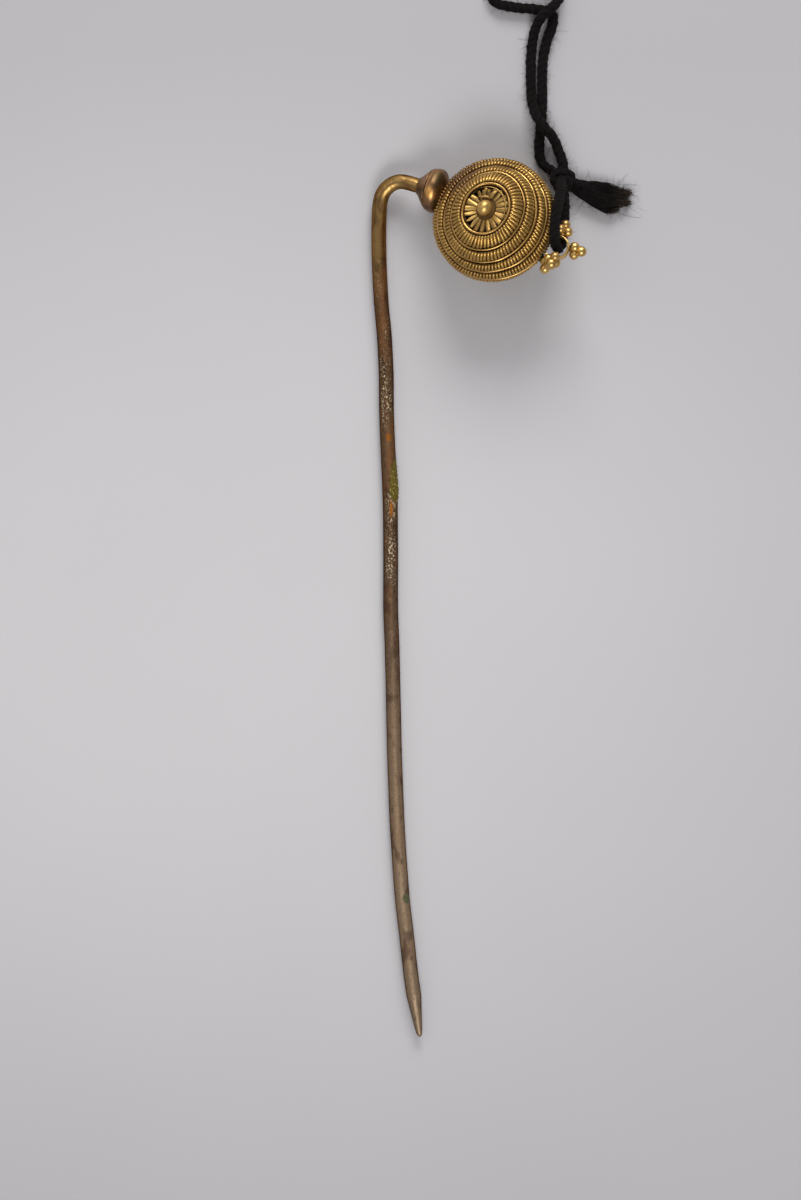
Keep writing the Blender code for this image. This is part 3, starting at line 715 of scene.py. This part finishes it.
# ---------------------------------------------------------------------------------------------
# Crown and finial. Twenty hollow petals pressed from thin sheet run from a low foot to the
# innermost wire. Some have split apart at their outer ends, those beyond the ball are torn and
# curled up, and a bezel strip stands loose along one side. A hollow ball is soldered on the foot.

petal_gilt = gilt_finish(
    "gilt_petals", gold=(0.58, 0.37, 0.118), worn=(0.38, 0.23, 0.078), dirt_and_shade=(0.13, 0.07, 0.02),
    low_dirt_and_shade=0.15, high_dirt_and_shade=0.9, base_rough=0.20,
)
crown_section = node_section("crown_petals")
crown_in, crown_out = crown_section[:, 0].min(), crown_section[:, 0].max()
crown_top = crown_section[:, 1].max()
SHEET = 0.13 * MM
LIT_EDGE = 1.15


def sheet_strip(name, radius, turn, height, arch, lit_and_clean=1.0):
    """Thin sheet given by arrays of strips by stations by places across; it bulges up by the
    arch in its middle, and a second skin one thickness lower closes it."""
    across = np.linspace(-1, 1, radius.shape[-1])
    top = height + arch * (1 - across**2)
    skins = [np.concatenate([v, w[..., ::-1]], axis=-1) for v, w in
             ((radius, radius), (turn, turn), (top, top - SHEET))]
    # Painted light and shade: each strip is lit along its middle and darkened, with dirt, towards its
    # edges, and its underside is painted dark.
    sheet_lit_and_clean = np.concatenate([1 - 0.9 * np.abs(across) ** 3, 0.2 + 0 * across]) * lit_and_clean
    made = surface(name, on_head(*skins), petal_gilt, shades={"lit_and_clean": sheet_lit_and_clean})
    return made


# Widths in degrees of the splits between petals, going round from beside the collar, and how
# far out each petal after a split still reaches. A petal starts a little under the foot, and a
# split widens outwards.
SPLITS = (1.5, 2, 2, 13, 14, 3, 5, 5, 2.5, 2, 2, 2, 2, 1.5, 7, 8, 4, 3, 8, 12)
REACH = (1, 1, 1, 0.95, 0.93, 1, 1, 1, 1, 1, 1, 1, 1, 1, 0.97, 0.74, 0.62, 0.66, 0.72, 0.90)
FIRST_SPLIT = math.radians(-7.3)
PETAL_TUCK, PETAL_OVERHANG, PETAL_SINK = 0.1 * MM, 0.08 * MM, 0.16 * MM
SPLIT_FROM, SPLIT_OVER, SPLIT_LEAST = 2.45 * MM, 1.1 * MM, 0.22
pitch = 2 * math.pi / len(SPLITS)
petal = np.arange(len(SPLITS))[:, None, None]
petal_t = np.linspace(0, 1, 16)[None, :, None]
across = np.linspace(-1, 1, 9)[None, None, :]
reach_share = np.array(REACH)[:, None, None]
reach = crown_in + (crown_out + PETAL_OVERHANG - crown_in) * reach_share
ragged = 0.10 * MM * np.sin(7 * across + 2.1 * petal) * (reach < 0.99 * crown_out)
petal_foot = crown_in - PETAL_TUCK
petal_radius = petal_foot + (reach + ragged - petal_foot) * petal_t
opening = np.clip((petal_radius - SPLIT_FROM) / SPLIT_OVER, SPLIT_LEAST, 1)
split = np.radians(np.array(SPLITS))[:, None, None] * opening
left_edge = FIRST_SPLIT + pitch * petal + split / 2
right_edge = FIRST_SPLIT + pitch * (petal + 1) - np.roll(split, -1, axis=0) / 2
petal_turn = (left_edge + right_edge) / 2 + across * (right_edge - left_edge) / 2
curl = np.clip((1 - reach_share) * 1.2, 0, 0.5) * MM * petal_t**2
dents = 0.06 * MM * np.sin(5.3 * petal + 2.6 * petal_t + 1.7 * across * np.cos(3.1 * petal))
petal_level = crown_top - PETAL_SINK + curl + dents
petal_arch = (0.03 + 0.13 * petal_t) * MM
petals = sheet_strip("crown_petal_sheet", petal_radius, petal_turn, petal_level, petal_arch)
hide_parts("crown_petals")

# Torn pieces: a curled ribbon, a bent tab and a torn end. Each is a line given by angles in
# degrees and by distances and lifts in millimetres, with its half width.
TORN = (
    ("torn_ribbon", (-84, -66, -42, -26), (1.62, 1.85, 2.05, 2.55), (0.26, 0.40, 0.38, 0.15), 0.24),
    ("torn_tab", (-84, -89, -95, -99), (1.50, 2.15, 2.80, 3.35), (0.28, 0.58, 0.66, 0.38), 0.40),
    ("torn_end", (-60, -62, -57, -54), (2.75, 3.05, 3.30, 3.55), (0.10, 0.22, 0.18, 0.05), 0.22),
)
TORN_ARCH = 0.08 * MM
for name, turns, radii, lifts, half_width in TORN:
    line = smooth_route(list(zip(turns, radii, lifts)), 3 * MM) / MM
    turn, radius = np.radians(line[:, :1]), line[:, 1:2] * MM
    way = unit(np.stack([np.gradient(radius[:, 0]), radius[:, 0] * np.gradient(turn[:, 0])], axis=-1))
    taper = np.sin(math.pi * np.linspace(0.12, 0.88, len(line)))[:, None] * half_width * MM
    side = taper * np.linspace(-1, 1, 7)
    torn_radius, torn_turn = radius + way[:, 1:] * side, turn - way[:, :1] * side / radius
    torn_level = crown_top + line[:, 2:] * MM + 0 * side
    torn = (torn_radius[None], torn_turn[None], torn_level[None])
    sheet_strip(name, *torn, TORN_ARCH, lit_and_clean=LIT_EDGE)

# The loose bezel strip stands off the innermost wire by a gap that opens and closes again.
BEZEL_TURNS = (-195, -42)
BEZEL_GAP, BEZEL_HALF_WIDTH, BEZEL_LIFT = 0.32 * MM, 0.16 * MM, 0.06 * MM
BEZEL_ARCH = 0.10 * MM
bezel_turn = np.radians(np.linspace(*BEZEL_TURNS, 60))[:, None]
bezel_off = np.linspace(-1, 1, 7)[None, :]
bezel_gap = BEZEL_GAP * np.sin(np.linspace(0.25, math.pi, 60))[:, None]
bezel_half = BEZEL_HALF_WIDTH * np.sin(np.linspace(0.3, math.pi - 0.2, 60))[:, None]
bezel_radius = crown_out - bezel_gap + bezel_half * bezel_off
bezel_level = crown_top + BEZEL_LIFT + 0 * bezel_radius
bezel = (bezel_radius[None], (bezel_turn + 0 * bezel_off)[None], bezel_level[None])
sheet_strip("loose_bezel", *bezel, BEZEL_ARCH, lit_and_clean=LIT_EDGE)


def turned_ring(name, profile, finish, sides=96, wave=0.0, lit_and_clean=1.0):
    """A profile of distance and height pairs turned round the head's axis. Its distance is
    waved in and out six times round, and a slow noise lifts it by hundredths of a millimetre."""
    turn = angles_round(sides)[None, :]
    profile = np.array(profile)[:, None, :]
    radius = profile[..., 0] * (1 + wave * np.cos(6 * turn))
    grid = on_head(radius, turn, profile[..., 1] + 0 * turn)
    grid = grid + head_axis * (0.02 * MM * ripple(grid, 1.5 * MM, 7))[..., None]
    made = surface(name, grid, finish, shades={"lit_and_clean": lit_and_clean})
    return made


def turned_size(name):
    """A packed turned piece's greatest distance off the head's axis, and its two levels."""
    section = node_section(name)
    return section[:, 0].max(), section[:, 1].min(), section[:, 1].max()


# A turned profile starts and ends this near the axis, where a fan closes it.
NEAR_AXIS = 0.02 * MM
FOOT_FLAT = 0.55
FOOT_FALL = 0.7
foot_radius, foot_low, foot_top = turned_size("finial_base")
foot_bend = np.linspace(0, math.pi / 2, 10)
foot_round = foot_radius * (FOOT_FLAT + (1 - FOOT_FLAT) * np.sin(foot_bend))
foot_level = foot_top - (foot_top - foot_low) * FOOT_FALL * (1 - np.cos(foot_bend))
foot_profile = [
    (NEAR_AXIS, foot_top), (FOOT_FLAT * foot_radius, foot_top), *zip(foot_round, foot_level),
    (0.96 * foot_radius, foot_low), (NEAR_AXIS, foot_low),
]
# Painted shadow: the foot is painted dark all over, for the shadow under the ball.
finial_foot = turned_ring("finial_foot", foot_profile, petal_gilt, wave=0.012, lit_and_clean=0.2)
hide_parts("finial_base")

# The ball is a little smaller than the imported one, and it sits off the foot's middle.
BALL_SHARE = 0.95
BALL_SHIFT = (0.10 * MM, -0.28 * MM, -0.12 * MM)
ball_gilt = gilt_finish(
    "gilt_ball", gold=(0.70, 0.46, 0.15), worn=(0.50, 0.31, 0.10), dirt_and_shade=(0.12, 0.05, 0.015),
    low_dirt_and_shade=0.15, high_dirt_and_shade=0.5, base_rough=0.15,
)
_, ball_low, ball_high = turned_size("finial_ball")
ball_radius = (ball_high - ball_low) / 2 * BALL_SHARE
ball_bend = np.linspace(0.01, math.pi - 0.01, 40)
ball_level = (ball_low + ball_high) / 2 + ball_radius * np.cos(ball_bend)
ball_profile = np.stack([ball_radius * np.sin(ball_bend), ball_level], axis=-1)
finial = turned_ring("finial_bead", ball_profile, ball_gilt, sides=64)
finial.data.transform(Matrix.Translation(BALL_SHIFT))
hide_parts("finial_ball")

# ---------------------------------------------------------------------------------------------
# Backing sheets, seen only between the wires, and the plate that closes the back. The collar's
# neck is hidden in the rim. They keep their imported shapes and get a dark, tarnished finish.

dark_sheet = Finish("tarnished_sheet", Metallic=0.8)
sheet_cloud = dark_sheet.noise(1.4 * MM, detail=6.0)
sheet_speck = dark_sheet.noise(0.2 * MM, detail=3.0)
sheet_worn = (sheet_cloud * 0.7 + sheet_speck * 0.3).ramp(0.38, 0.62)
dark_sheet.feed(Base_Color=dark_sheet.mix(sheet_worn, (0.13, 0.068, 0.022), (0.34, 0.20, 0.07)))
dark_sheet.feed(Roughness=0.62 - 0.2 * sheet_worn)
dark_sheet.bump(sheet_speck, 0.05 * MM, 0.5)
for node in ("front_dome", "back_dome", "collar_neck"):
    mesh = frame["nodes"][node].data
    mesh.materials.clear()
    mesh.materials.append(dark_sheet.material)

PLATE_ROUNDING = 0.15 * MM
plate_radius, plate_face, plate_inside = turned_size("back_plate")
plate_bend = np.linspace(0, math.pi / 2, 6)
plate_edge = zip(
    plate_radius - PLATE_ROUNDING * (1 - np.sin(plate_bend)),
    plate_face + PLATE_ROUNDING * (1 - np.cos(plate_bend)),
)
plate_profile = [
    (NEAR_AXIS, plate_face), (plate_radius * 0.5, plate_face), *plate_edge,
    (plate_radius, plate_inside), (NEAR_AXIS, plate_inside),
]
closing_plate = turned_ring("closing_plate", plate_profile, petal_gilt, lit_and_clean=0.6)
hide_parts("back_plate")

# ---------------------------------------------------------------------------------------------
# Collar. A turned bead with a round belly and a thinner cone against the shaft; most of its
# gilding has gone, so it is smooth, brown and coppery.

bead_middle = middle_of("collar_bead")
collar_axis = unit(middle_of("collar_cone") - bead_middle)
collar_side = unit(np.cross(collar_axis, (0.0, 0.0, 1.0)))
collar_up = np.cross(collar_side, collar_axis)


def collar_section(name):
    """A collar piece's radius, and where it starts and ends along the collar's axis."""
    offset = packed_corners(name) - bead_middle
    along = offset @ collar_axis
    radius = np.linalg.norm(offset - along[:, None] * collar_axis, axis=1).max()
    return radius, along.min(), along.max()


def rounded(points, steps=8):
    """A Catmull-Rom curve through a profile's points, in metres."""
    lifted = [(x / MM, y / MM, 0.0) for x, y in points]
    spacing = sum(math.dist(a, b) for a, b in zip(points, points[1:])) / (steps * len(points))
    return smooth_route(lifted, spacing)[:, :2]


def lumps(points, spots):
    """Strength times e to the minus square of distance over reach, added up over spots. A spot
    is a middle and a reach in millimetres, how far it is stretched along Y, and a strength."""
    total = 0.0
    for place, reach, stretch, strength in spots:
        away = (points - np.array(place) * MM) / (np.array((1.0, stretch, 1.0)) * reach * MM)
        total = total + strength * np.exp(-dot(away, away))
    return total


COLLAR_BORE = 1.0 * MM
COLLAR_DENTS = 0.045 * MM
OLIVE_SPOTS = (((-5.2, 65.2, 8.2), 2.3, 1.0, 1.0), ((-6.9, 61.2, 7.0), 1.0, 1.0, 0.8))
# Painted highlights: these spots are bright orange where the light glints on the belly.
HIGHLIGHT_SPOTS = (((-8.1, 62.9, 8.6), 0.95, 1.2, 1.3), ((-7.3, 66.2, 9.0), 0.7, 1.6, 0.55))
collar_metal = Finish("collar_bronze", Metallic=1.0)
collar_cloud = collar_metal.noise(2.4 * MM, detail=6.0, roughness=0.6)
collar_speck = collar_metal.noise(0.22 * MM, detail=4.0, roughness=0.7)
collar_gold = collar_metal.noise(1.7 * MM, detail=3.0).ramp(0.55, 0.68)
collar_olive = collar_metal.broken("olive", collar_cloud, 0.8, 0.2, 0.8)
collar_highlight = collar_metal.broken("bare", collar_cloud, 0.5, 0.15, 0.65)
collar_tone = collar_metal.mix(collar_cloud.ramp(0.36, 0.62), (0.15, 0.088, 0.048), (0.40, 0.215, 0.10))
for share, tone in (
    (collar_gold * 0.5, (0.50, 0.31, 0.12)),
    (collar_olive * 0.9, (0.078, 0.060, 0.026)),
    # Painted highlight, in bright orange.
    (collar_highlight, (0.95, 0.50, 0.15)),
    (collar_speck.ramp(0.62, 0.74), (0.07, 0.035, 0.02)),
):
    collar_tone = collar_metal.mix(share, collar_tone, tone)
collar_metal.feed(Base_Color=collar_tone)
collar_metal.feed(Roughness=0.30 + 0.22 * collar_cloud + 0.12 * collar_olive)
collar_metal.bump(collar_speck, 0.015 * MM, 0.4)


def collar_piece(name, node, outline, seed):
    """An outline turned round the collar's axis and dented by slow noise. The outline goes from
    the shaft's side to the head's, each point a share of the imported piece's radius and of its
    span along the axis; both ends go in to the bore."""
    radius, start, end = collar_section(node)
    middle = [(radius * out, start + (end - start) * along) for out, along in outline]
    profile = rounded([(COLLAR_BORE, end), *middle, (COLLAR_BORE, start)])
    turn = angles_round(112)[:, None]
    way = collar_side * np.cos(turn) + collar_up * np.sin(turn)
    grid = bead_middle + way * profile[:, :1, None] + collar_axis * profile[:, 1:, None]
    grid = grid + way * (COLLAR_DENTS * ripple(grid, 4 * MM, seed))[..., None]
    # The second stored shade holds the painted highlights.
    shades = {"olive": lumps(grid, OLIVE_SPOTS), "bare": lumps(grid, HIGHLIGHT_SPOTS)}
    made = surface(name, grid, collar_metal, shades=shades)
    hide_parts(node)


CONE_END_RADIUS = 1.30 * MM
BEAD_OUTLINE = ((0.875, 1.0), (0.955, 0.84), (1.0, 0.62), (0.965, 0.36), (0.82, 0.15), (0.55, 0.0))
CONE_OUTLINE = ((0.56, 0.74), (0.79, 0.40), (0.95, 0.12), (0.965, 0.0))
cone_radius, _, cone_end = collar_section("collar_cone")
collar_piece("collar_belly", "collar_bead", BEAD_OUTLINE, 41)
collar_piece(
    "collar_ridge", "collar_cone", ((CONE_END_RADIUS / cone_radius, 1.0), *CONE_OUTLINE), 42
)

# ---------------------------------------------------------------------------------------------
# Shaft. One drawn rod, bent in a swan neck beside the collar, with a long slow bow and a blunt
# point. Gilding stays at the bend, the middle is brown and purple, the lower third pale brass.

SHAFT_RADIUS = 1.15 * MM
SHAFT_STEP = 0.30 * MM
TIP_LENGTH = 6.5 * MM
TIP_RADIUS = 0.4 * MM
TIP_ROUNDING = 0.45 * MM

# X and Y from where the shaft leaves the collar, and the share of that place's height above
# the shaft when it lies on the table.
SHAFT_ROUTE = (
    (-1.07, 0.34, 0.846), (-2.42, 0.54, 0.692), (-3.77, 0.09, 0.538), (-4.87, -0.96, 0.404),
    (-5.42, -2.41, 0.308), (-5.62, -4.56, 0.211), (-5.67, -8.41, 0.096), (-5.57, -12.81, 0.019),
    (-5.27, -18.51, 0), (-4.82, -23.41, 0), (-4.52, -29.31, 0), (-4.47, -34.91, 0),
    (-4.22, -41.91, 0), (-3.92, -49.21, 0), (-3.82, -57.21, 0), (-3.82, -65.91, 0),
    (-3.62, -71.41, 0), (-3.42, -80.11, 0), (-3.22, -89.01, 0), (-2.87, -98.01, 0),
    (-2.52, -104.21, 0), (-2.02, -110.91, 0), (-1.32, -117.01, 0), (-0.72, -122.51, 0),
    (-0.17, -126.41, 0), (0.28, -129.61, 0), (0.73, -132.61, 0),
)

collar_leave = bead_middle + collar_axis * (cone_end + SHAFT_RADIUS / 2)
bent = np.array(SHAFT_ROUTE) * (MM, MM, collar_leave[2] - SHAFT_RADIUS)
bent += (collar_leave[0], collar_leave[1], SHAFT_RADIUS)
straight = [bead_middle, (bead_middle + collar_leave) / 2, collar_leave]
shaft_path = smooth_route([tuple(point / MM) for point in (*straight, *bent)], SHAFT_STEP)
shaft_gone = gone_along(shaft_path)
shaft_left = shaft_gone[-1] - shaft_gone

# The radius narrows evenly over the tip's length, and its last half millimetre is rounded off.
tip_share = TIP_RADIUS / SHAFT_RADIUS
shaft_share = np.minimum(1.0, tip_share + (1 - tip_share) * shaft_left / TIP_LENGTH)
shaft_share = shaft_share * np.sqrt(np.clip(shaft_left / TIP_ROUNDING + 0.02, 0, 1))
around = angles_round(40)[None, :]
shaft_rings = SHAFT_RADIUS * shaft_share[:, None] + 0 * around
shaft_side = np.cross(np.gradient(shaft_path, axis=0), (0.0, 0.0, 1.0))
shaft_grid = swept(shaft_path, shaft_side, shaft_rings * np.cos(around), shaft_rings * np.sin(around))
shaft_out = unit(shaft_grid - shaft_path[:, None])
shaft_long = shaft_grid * np.array((1.0, 0.12, 1.0))
shaft_dents = 0.022 * ripple(shaft_long, 1.6 * MM, 51) + 0.012 * ripple(shaft_grid, 0.8 * MM, 52)

# A rough crust stands on the shaft between the bend and the middle, and a nick lies nearer the
# head. Green and rust only tint it. Each spot is as lumps takes it.
CRUST_SPOTS = (((-13.05, 19.2, 1.9), 0.85, 3.0, 1.0), ((-13.0, 16.6, 1.9), 0.9, 1.7, 0.8))
NICK_SPOTS = (((-13.35, 30.3, 1.8), 0.35, 1.5, 1.0),)
GREEN_SPOTS = (((-11.3, -46.6, 1.9), 0.8, 1.2, 1.0),)
RUST_SPOTS = (
    ((-13.95, 25.2, 2.3), 0.5, 1.3, 1.0), ((-13.6, 14.0, 2.3), 0.35, 5.0, 0.8),
    ((-12.6, 62.9, 4.6), 1.3, 1.0, 0.6), ((-14.2, 60.4, 2.6), 0.8, 2.0, 0.5),
)
CRUST_HEIGHT, NICK_DEPTH = 0.34 * MM, 0.16 * MM
crust = lumps(shaft_grid, CRUST_SPOTS)
crust_height = CRUST_HEIGHT * crust * (0.75 + 0.5 * ripple(shaft_grid, 0.6 * MM, 53))
shaft_swell = shaft_dents * SHAFT_RADIUS * 0.5 + crust_height
shaft_swell = shaft_swell - NICK_DEPTH * lumps(shaft_grid, NICK_SPOTS)
shaft_swell = shaft_swell * np.clip(shaft_share, 0.2, 1)[:, None]
shaft_grid = shaft_grid + shaft_out * shaft_swell[..., None]
shaft_grid[..., 2] = np.maximum(shaft_grid[..., 2], 0.0)

# The metal's own tone changes along the shaft: pale brass at the point, brown in the middle and
# gilded at the bend, each stop a share of the length from the point and a colour.
TONE_STOPS = (
    (0.02, (0.33, 0.235, 0.155)), (0.10, (0.38, 0.265, 0.17)), (0.18, (0.38, 0.265, 0.17)),
    (0.34, (0.33, 0.22, 0.14)), (0.45, (0.21, 0.135, 0.085)), (0.55, (0.17, 0.105, 0.062)),
    (0.69, (0.20, 0.115, 0.058)), (0.76, (0.15, 0.082, 0.040)), (0.83, (0.19, 0.100, 0.046)),
    (0.885, (0.36, 0.21, 0.075)), (0.95, (0.44, 0.265, 0.085)),
)
TONE_LENGTH = 140 * MM
shaft_metal = Finish("shaft_brass", Metallic=1.0, Specular_Tint=(0.30, 0.19, 0.11, 1.0))


def shaft_noise(size, detail, drawn, roughness=0.55):
    """Noise on the shaft, drawn out along it by the inverse of a share."""
    return shaft_metal.noise(size, detail, (1.0, drawn, 1.0), roughness)


shaft_cloud = shaft_noise(5 * MM, 6.0, 0.5, 0.62)
shaft_speck = shaft_noise(0.35 * MM, 4.0, 0.5, 0.7)
shaft_streak = shaft_noise(0.5 * MM, 4.0, 0.07, 0.6)
pale_noise = shaft_noise(0.22 * MM, 3.0, 0.6, 0.65)
pale_patch = shaft_noise(3.0 * MM, 3.0, 0.35).ramp(0.44, 0.60)
rust_cloud = shaft_noise(2.6 * MM, 5.0, 0.4).ramp(0.50, 0.64)
plum_cloud = shaft_noise(2.0 * MM, 5.0, 0.45).ramp(0.52, 0.64)
shaft_where = shaft_metal.along_y() + (shaft_cloud - 0.5) * (12 * MM)
shaft_where = shaft_where * (1 / TONE_LENGTH) + 0.5
shaft_tone = shaft_metal.node("ShaderNodeValToRGB", {"stops": TONE_STOPS}, {"Fac": shaft_where})
gilded = shaft_where.ramp(0.80, 0.90)
bare = shaft_where.ramp(0.46, 0.56)
pitted = shaft_where.ramp(0.44, 0.52) * (1.0 - gilded)
dark_spots = (shaft_speck * 0.6 + shaft_streak * 0.5).ramp(0.56, 0.68)
# Painted highlight and painted shade: the metal's pale specks are kept to the top of the rod, where it
# catches the light, and the flanks that turn away are painted dark.
painted_highlight_top = 1.0 - shaft_metal.shade("flank_shade").ramp(0.12, 0.45)
pale_specks_and_highlight = pale_noise.ramp(0.55, 0.60) * painted_highlight_top * (0.12 + 0.88 * pitted * pale_patch)
flank_shade_share = shaft_metal.broken("flank_shade", shaft_speck, 0.35, 0.22, 0.80)
rust_share = shaft_metal.broken("rust", shaft_speck, 1.0, 0.25, 0.75)
crust_share = shaft_metal.broken("crust", shaft_speck, 0.7, 0.22, 0.5)
green_share = shaft_metal.broken("green", shaft_speck, 0.5, 0.35, 0.60)
crust_tone = shaft_metal.mix(shaft_cloud.ramp(0.40, 0.58), (0.035, 0.022, 0.007), (0.145, 0.105, 0.022))
crust_tone = shaft_metal.mix(pale_noise.ramp(0.58, 0.66), crust_tone, (0.62, 0.55, 0.20))
for share, tone in (
    (dark_spots * (0.35 + 0.4 * pitted), (0.045, 0.026, 0.020)),
    (pale_specks_and_highlight, (0.95, 0.78, 0.52)),
    (rust_cloud * (0.15 + 0.45 * bare), (0.29, 0.125, 0.048)),
    (plum_cloud * 0.6, (0.085, 0.043, 0.030)),
    # Painted shade on the flanks.
    (flank_shade_share * (0.8 - 0.4 * gilded), (0.055, 0.032, 0.020)),
    (rust_share, (0.42, 0.15, 0.025)),
    (crust_share, crust_tone),
    (green_share, (0.12, 0.12, 0.065)),
):
    shaft_tone = shaft_metal.mix(share, shaft_tone, tone)
shaft_metal.feed(Base_Color=shaft_tone)
shaft_metal.feed(Roughness=(0.50 - 0.16 * gilded + 0.2 * dark_spots + 0.3 * crust_share).clipped())
shaft_metal.feed(Metallic=(0.95 + 0.05 * gilded - 0.5 * crust_share - 0.5 * green_share).clipped())
shaft_metal.bump(shaft_streak * 0.5 + shaft_speck * 0.4 + pale_noise * 0.3, 0.07 * MM, 0.6)

shaft_shades = {
    "crust": crust,
    "green": lumps(shaft_grid, GREEN_SPOTS),
    "rust": lumps(shaft_grid, RUST_SPOTS),
    # Painted shade: 0 on top of the rod and 1 at its sides.
    "flank_shade": 1.0 - np.clip(shaft_out[..., 2], 0, 1),
}
pin_rod = surface("pin_rod", shaft_grid, shaft_metal, shades=shaft_shades)
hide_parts("pin_shaft")

# ---------------------------------------------------------------------------------------------
# Cord loop. A flat strip bent to a U with both feet soldered on the rim opposite the collar,
# and four little pyramids of granules soldered round it.

LOOP_BORE = 1.55 * MM
LOOP_WALL = 0.4 * MM
LOOP_WIDTH = 1.1 * MM
SQUARING = 0.35
loop_gilt = gilt_finish(
    "gilt_strip", gold=(0.78, 0.54, 0.19), worn=(0.52, 0.33, 0.12), dirt_and_shade=(0.10, 0.045, 0.014),
    low_dirt_and_shade=0.15, high_dirt_and_shade=0.5,
)
loop_local = in_head(packed_corners("cord_loop"))
loop_far, loop_near = loop_local[:, 0].min(), loop_local[:, 0].max()
loop_across = (loop_local[:, 1].min() + loop_local[:, 1].max()) / 2
loop_middle = loop_far + LOOP_BORE + LOOP_WALL
bend_radius = LOOP_BORE + LOOP_WALL / 2
leg = np.linspace(loop_near, loop_middle, 8)[:-1]
bend = np.linspace(math.pi / 2, -math.pi / 2, 48)
strip_x = np.concatenate([leg, loop_middle - bend_radius * np.cos(bend), leg[::-1]])
strip_y = np.concatenate([bend_radius + 0 * leg, bend_radius * np.sin(bend), -bend_radius + 0 * leg])
strip_path = np.stack([strip_x, loop_across + strip_y, 0 * strip_x], axis=-1) @ head_basis + head_centre

# The section is a circle squared off: each coordinate keeps its sign and is raised to a low power.
around = angles_round(28)[None, :]
square_cos = np.sign(np.cos(around)) * np.abs(np.cos(around)) ** SQUARING
square_sin = np.sign(np.sin(around)) * np.abs(np.sin(around)) ** SQUARING
strip_ones = np.ones((len(strip_path), 1))
strip_grid = swept(
    strip_path, np.broadcast_to(head_axis, strip_path.shape),
    strip_ones * LOOP_WIDTH / 2 * square_cos, strip_ones * LOOP_WALL / 2 * square_sin,
)
cord_strip = surface("cord_strip", strip_grid, loop_gilt, shades={"lit_and_clean": 1.0})
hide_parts("cord_loop")

# Granules: each cluster is three balls with a fourth on top and solder between them. A cluster
# is placed by its turn round the loop's hole, from the side away from the head, and its lift.
GRANULE_RADIUS = 0.65 * MM
GRANULE_PITCH = 2 * GRANULE_RADIUS * 0.9
GRANULE_APART, GRANULE_SWELL, GRANULE_UNEVEN = 1.08, 1.18, 0.05
CLUSTER_GAP, CLUSTER_SHIFT = 0.1 * MM, 0.12 * MM
# The solder is painted darker, as shade with dirt between the balls.
SOLDER_SINK, SOLDER_RADIUS, SOLDER_LIT_AND_CLEAN = 0.62 * GRANULE_RADIUS, 0.8 * GRANULE_RADIUS, 0.45
CLUSTERS = ((99, 0), (16, 0), (-72, 35), (-97, -14))
granule_gilt = gilt_finish(
    "gilt_granules", gold=(0.74, 0.49, 0.165), worn=(0.52, 0.32, 0.11), dirt_and_shade=(0.12, 0.05, 0.015),
    low_dirt_and_shade=0.2, high_dirt_and_shade=0.62, base_rough=0.04,
)
loop_hole = head_centre + np.array((loop_middle, loop_across, 0.0)) @ head_basis
loop_basis = np.stack([-head_basis[0], -head_basis[1], head_basis[2]])
lat, lon = np.linspace(0.02, math.pi - 0.02, 18)[:, None], angles_round(28)[None, :]
ball = np.stack([np.sin(lat) * np.cos(lon), np.sin(lat) * np.sin(lon), np.cos(lat) + 0 * lon], axis=-1)
for number, (turn, lift) in enumerate(CLUSTERS, 1):
    turn, lift = math.radians(turn), math.radians(lift)
    away = np.array((math.cos(turn), math.sin(turn), 0.0))
    aim = away * math.cos(lift) + np.array((0.0, 0.0, math.sin(lift)))
    side = unit(np.cross(aim, (0.0, 0.0, 1.0)))
    other = np.cross(aim, side)
    start = aim * (LOOP_BORE + LOOP_WALL + CLUSTER_GAP + GRANULE_RADIUS) + away * CLUSTER_SHIFT
    thirds = angles_round(3)[:, None]
    base = start + (side * np.cos(thirds) + other * np.sin(thirds)) * GRANULE_PITCH / math.sqrt(3)
    centres = np.vstack([start + aim * GRANULE_PITCH * math.sqrt(2 / 3), base])
    heart = centres.mean(axis=0)
    centres = heart + GRANULE_APART * (centres - heart)
    sizes = GRANULE_RADIUS * (GRANULE_SWELL + GRANULE_UNEVEN * rng.normal(size=4))
    balls = centres[:, None, None] + ball * sizes[:, None, None, None]
    # Painted shade with dirt: each ball darkens where it faces the middle of its cluster.
    inward = dot(ball[None], unit(heart - centres)[:, None, None])
    lit_and_clean = np.clip(0.95 - 1.1 * np.clip(inward - 0.25, 0, 1), 0, 1)
    solder = start - aim * SOLDER_SINK + SOLDER_RADIUS * ball[None]
    grid = loop_hole + np.concatenate([balls, solder]) @ loop_basis
    lit_and_clean = np.concatenate([lit_and_clean, np.full((1, *lit_and_clean.shape[1:]), SOLDER_LIT_AND_CLEAN)])
    cluster = surface(f"granule_cluster_{number}", grid, granule_gilt, shades={"lit_and_clean": lit_and_clean})
    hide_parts(f"granules_{number}")

bpy.context.view_layer.update()
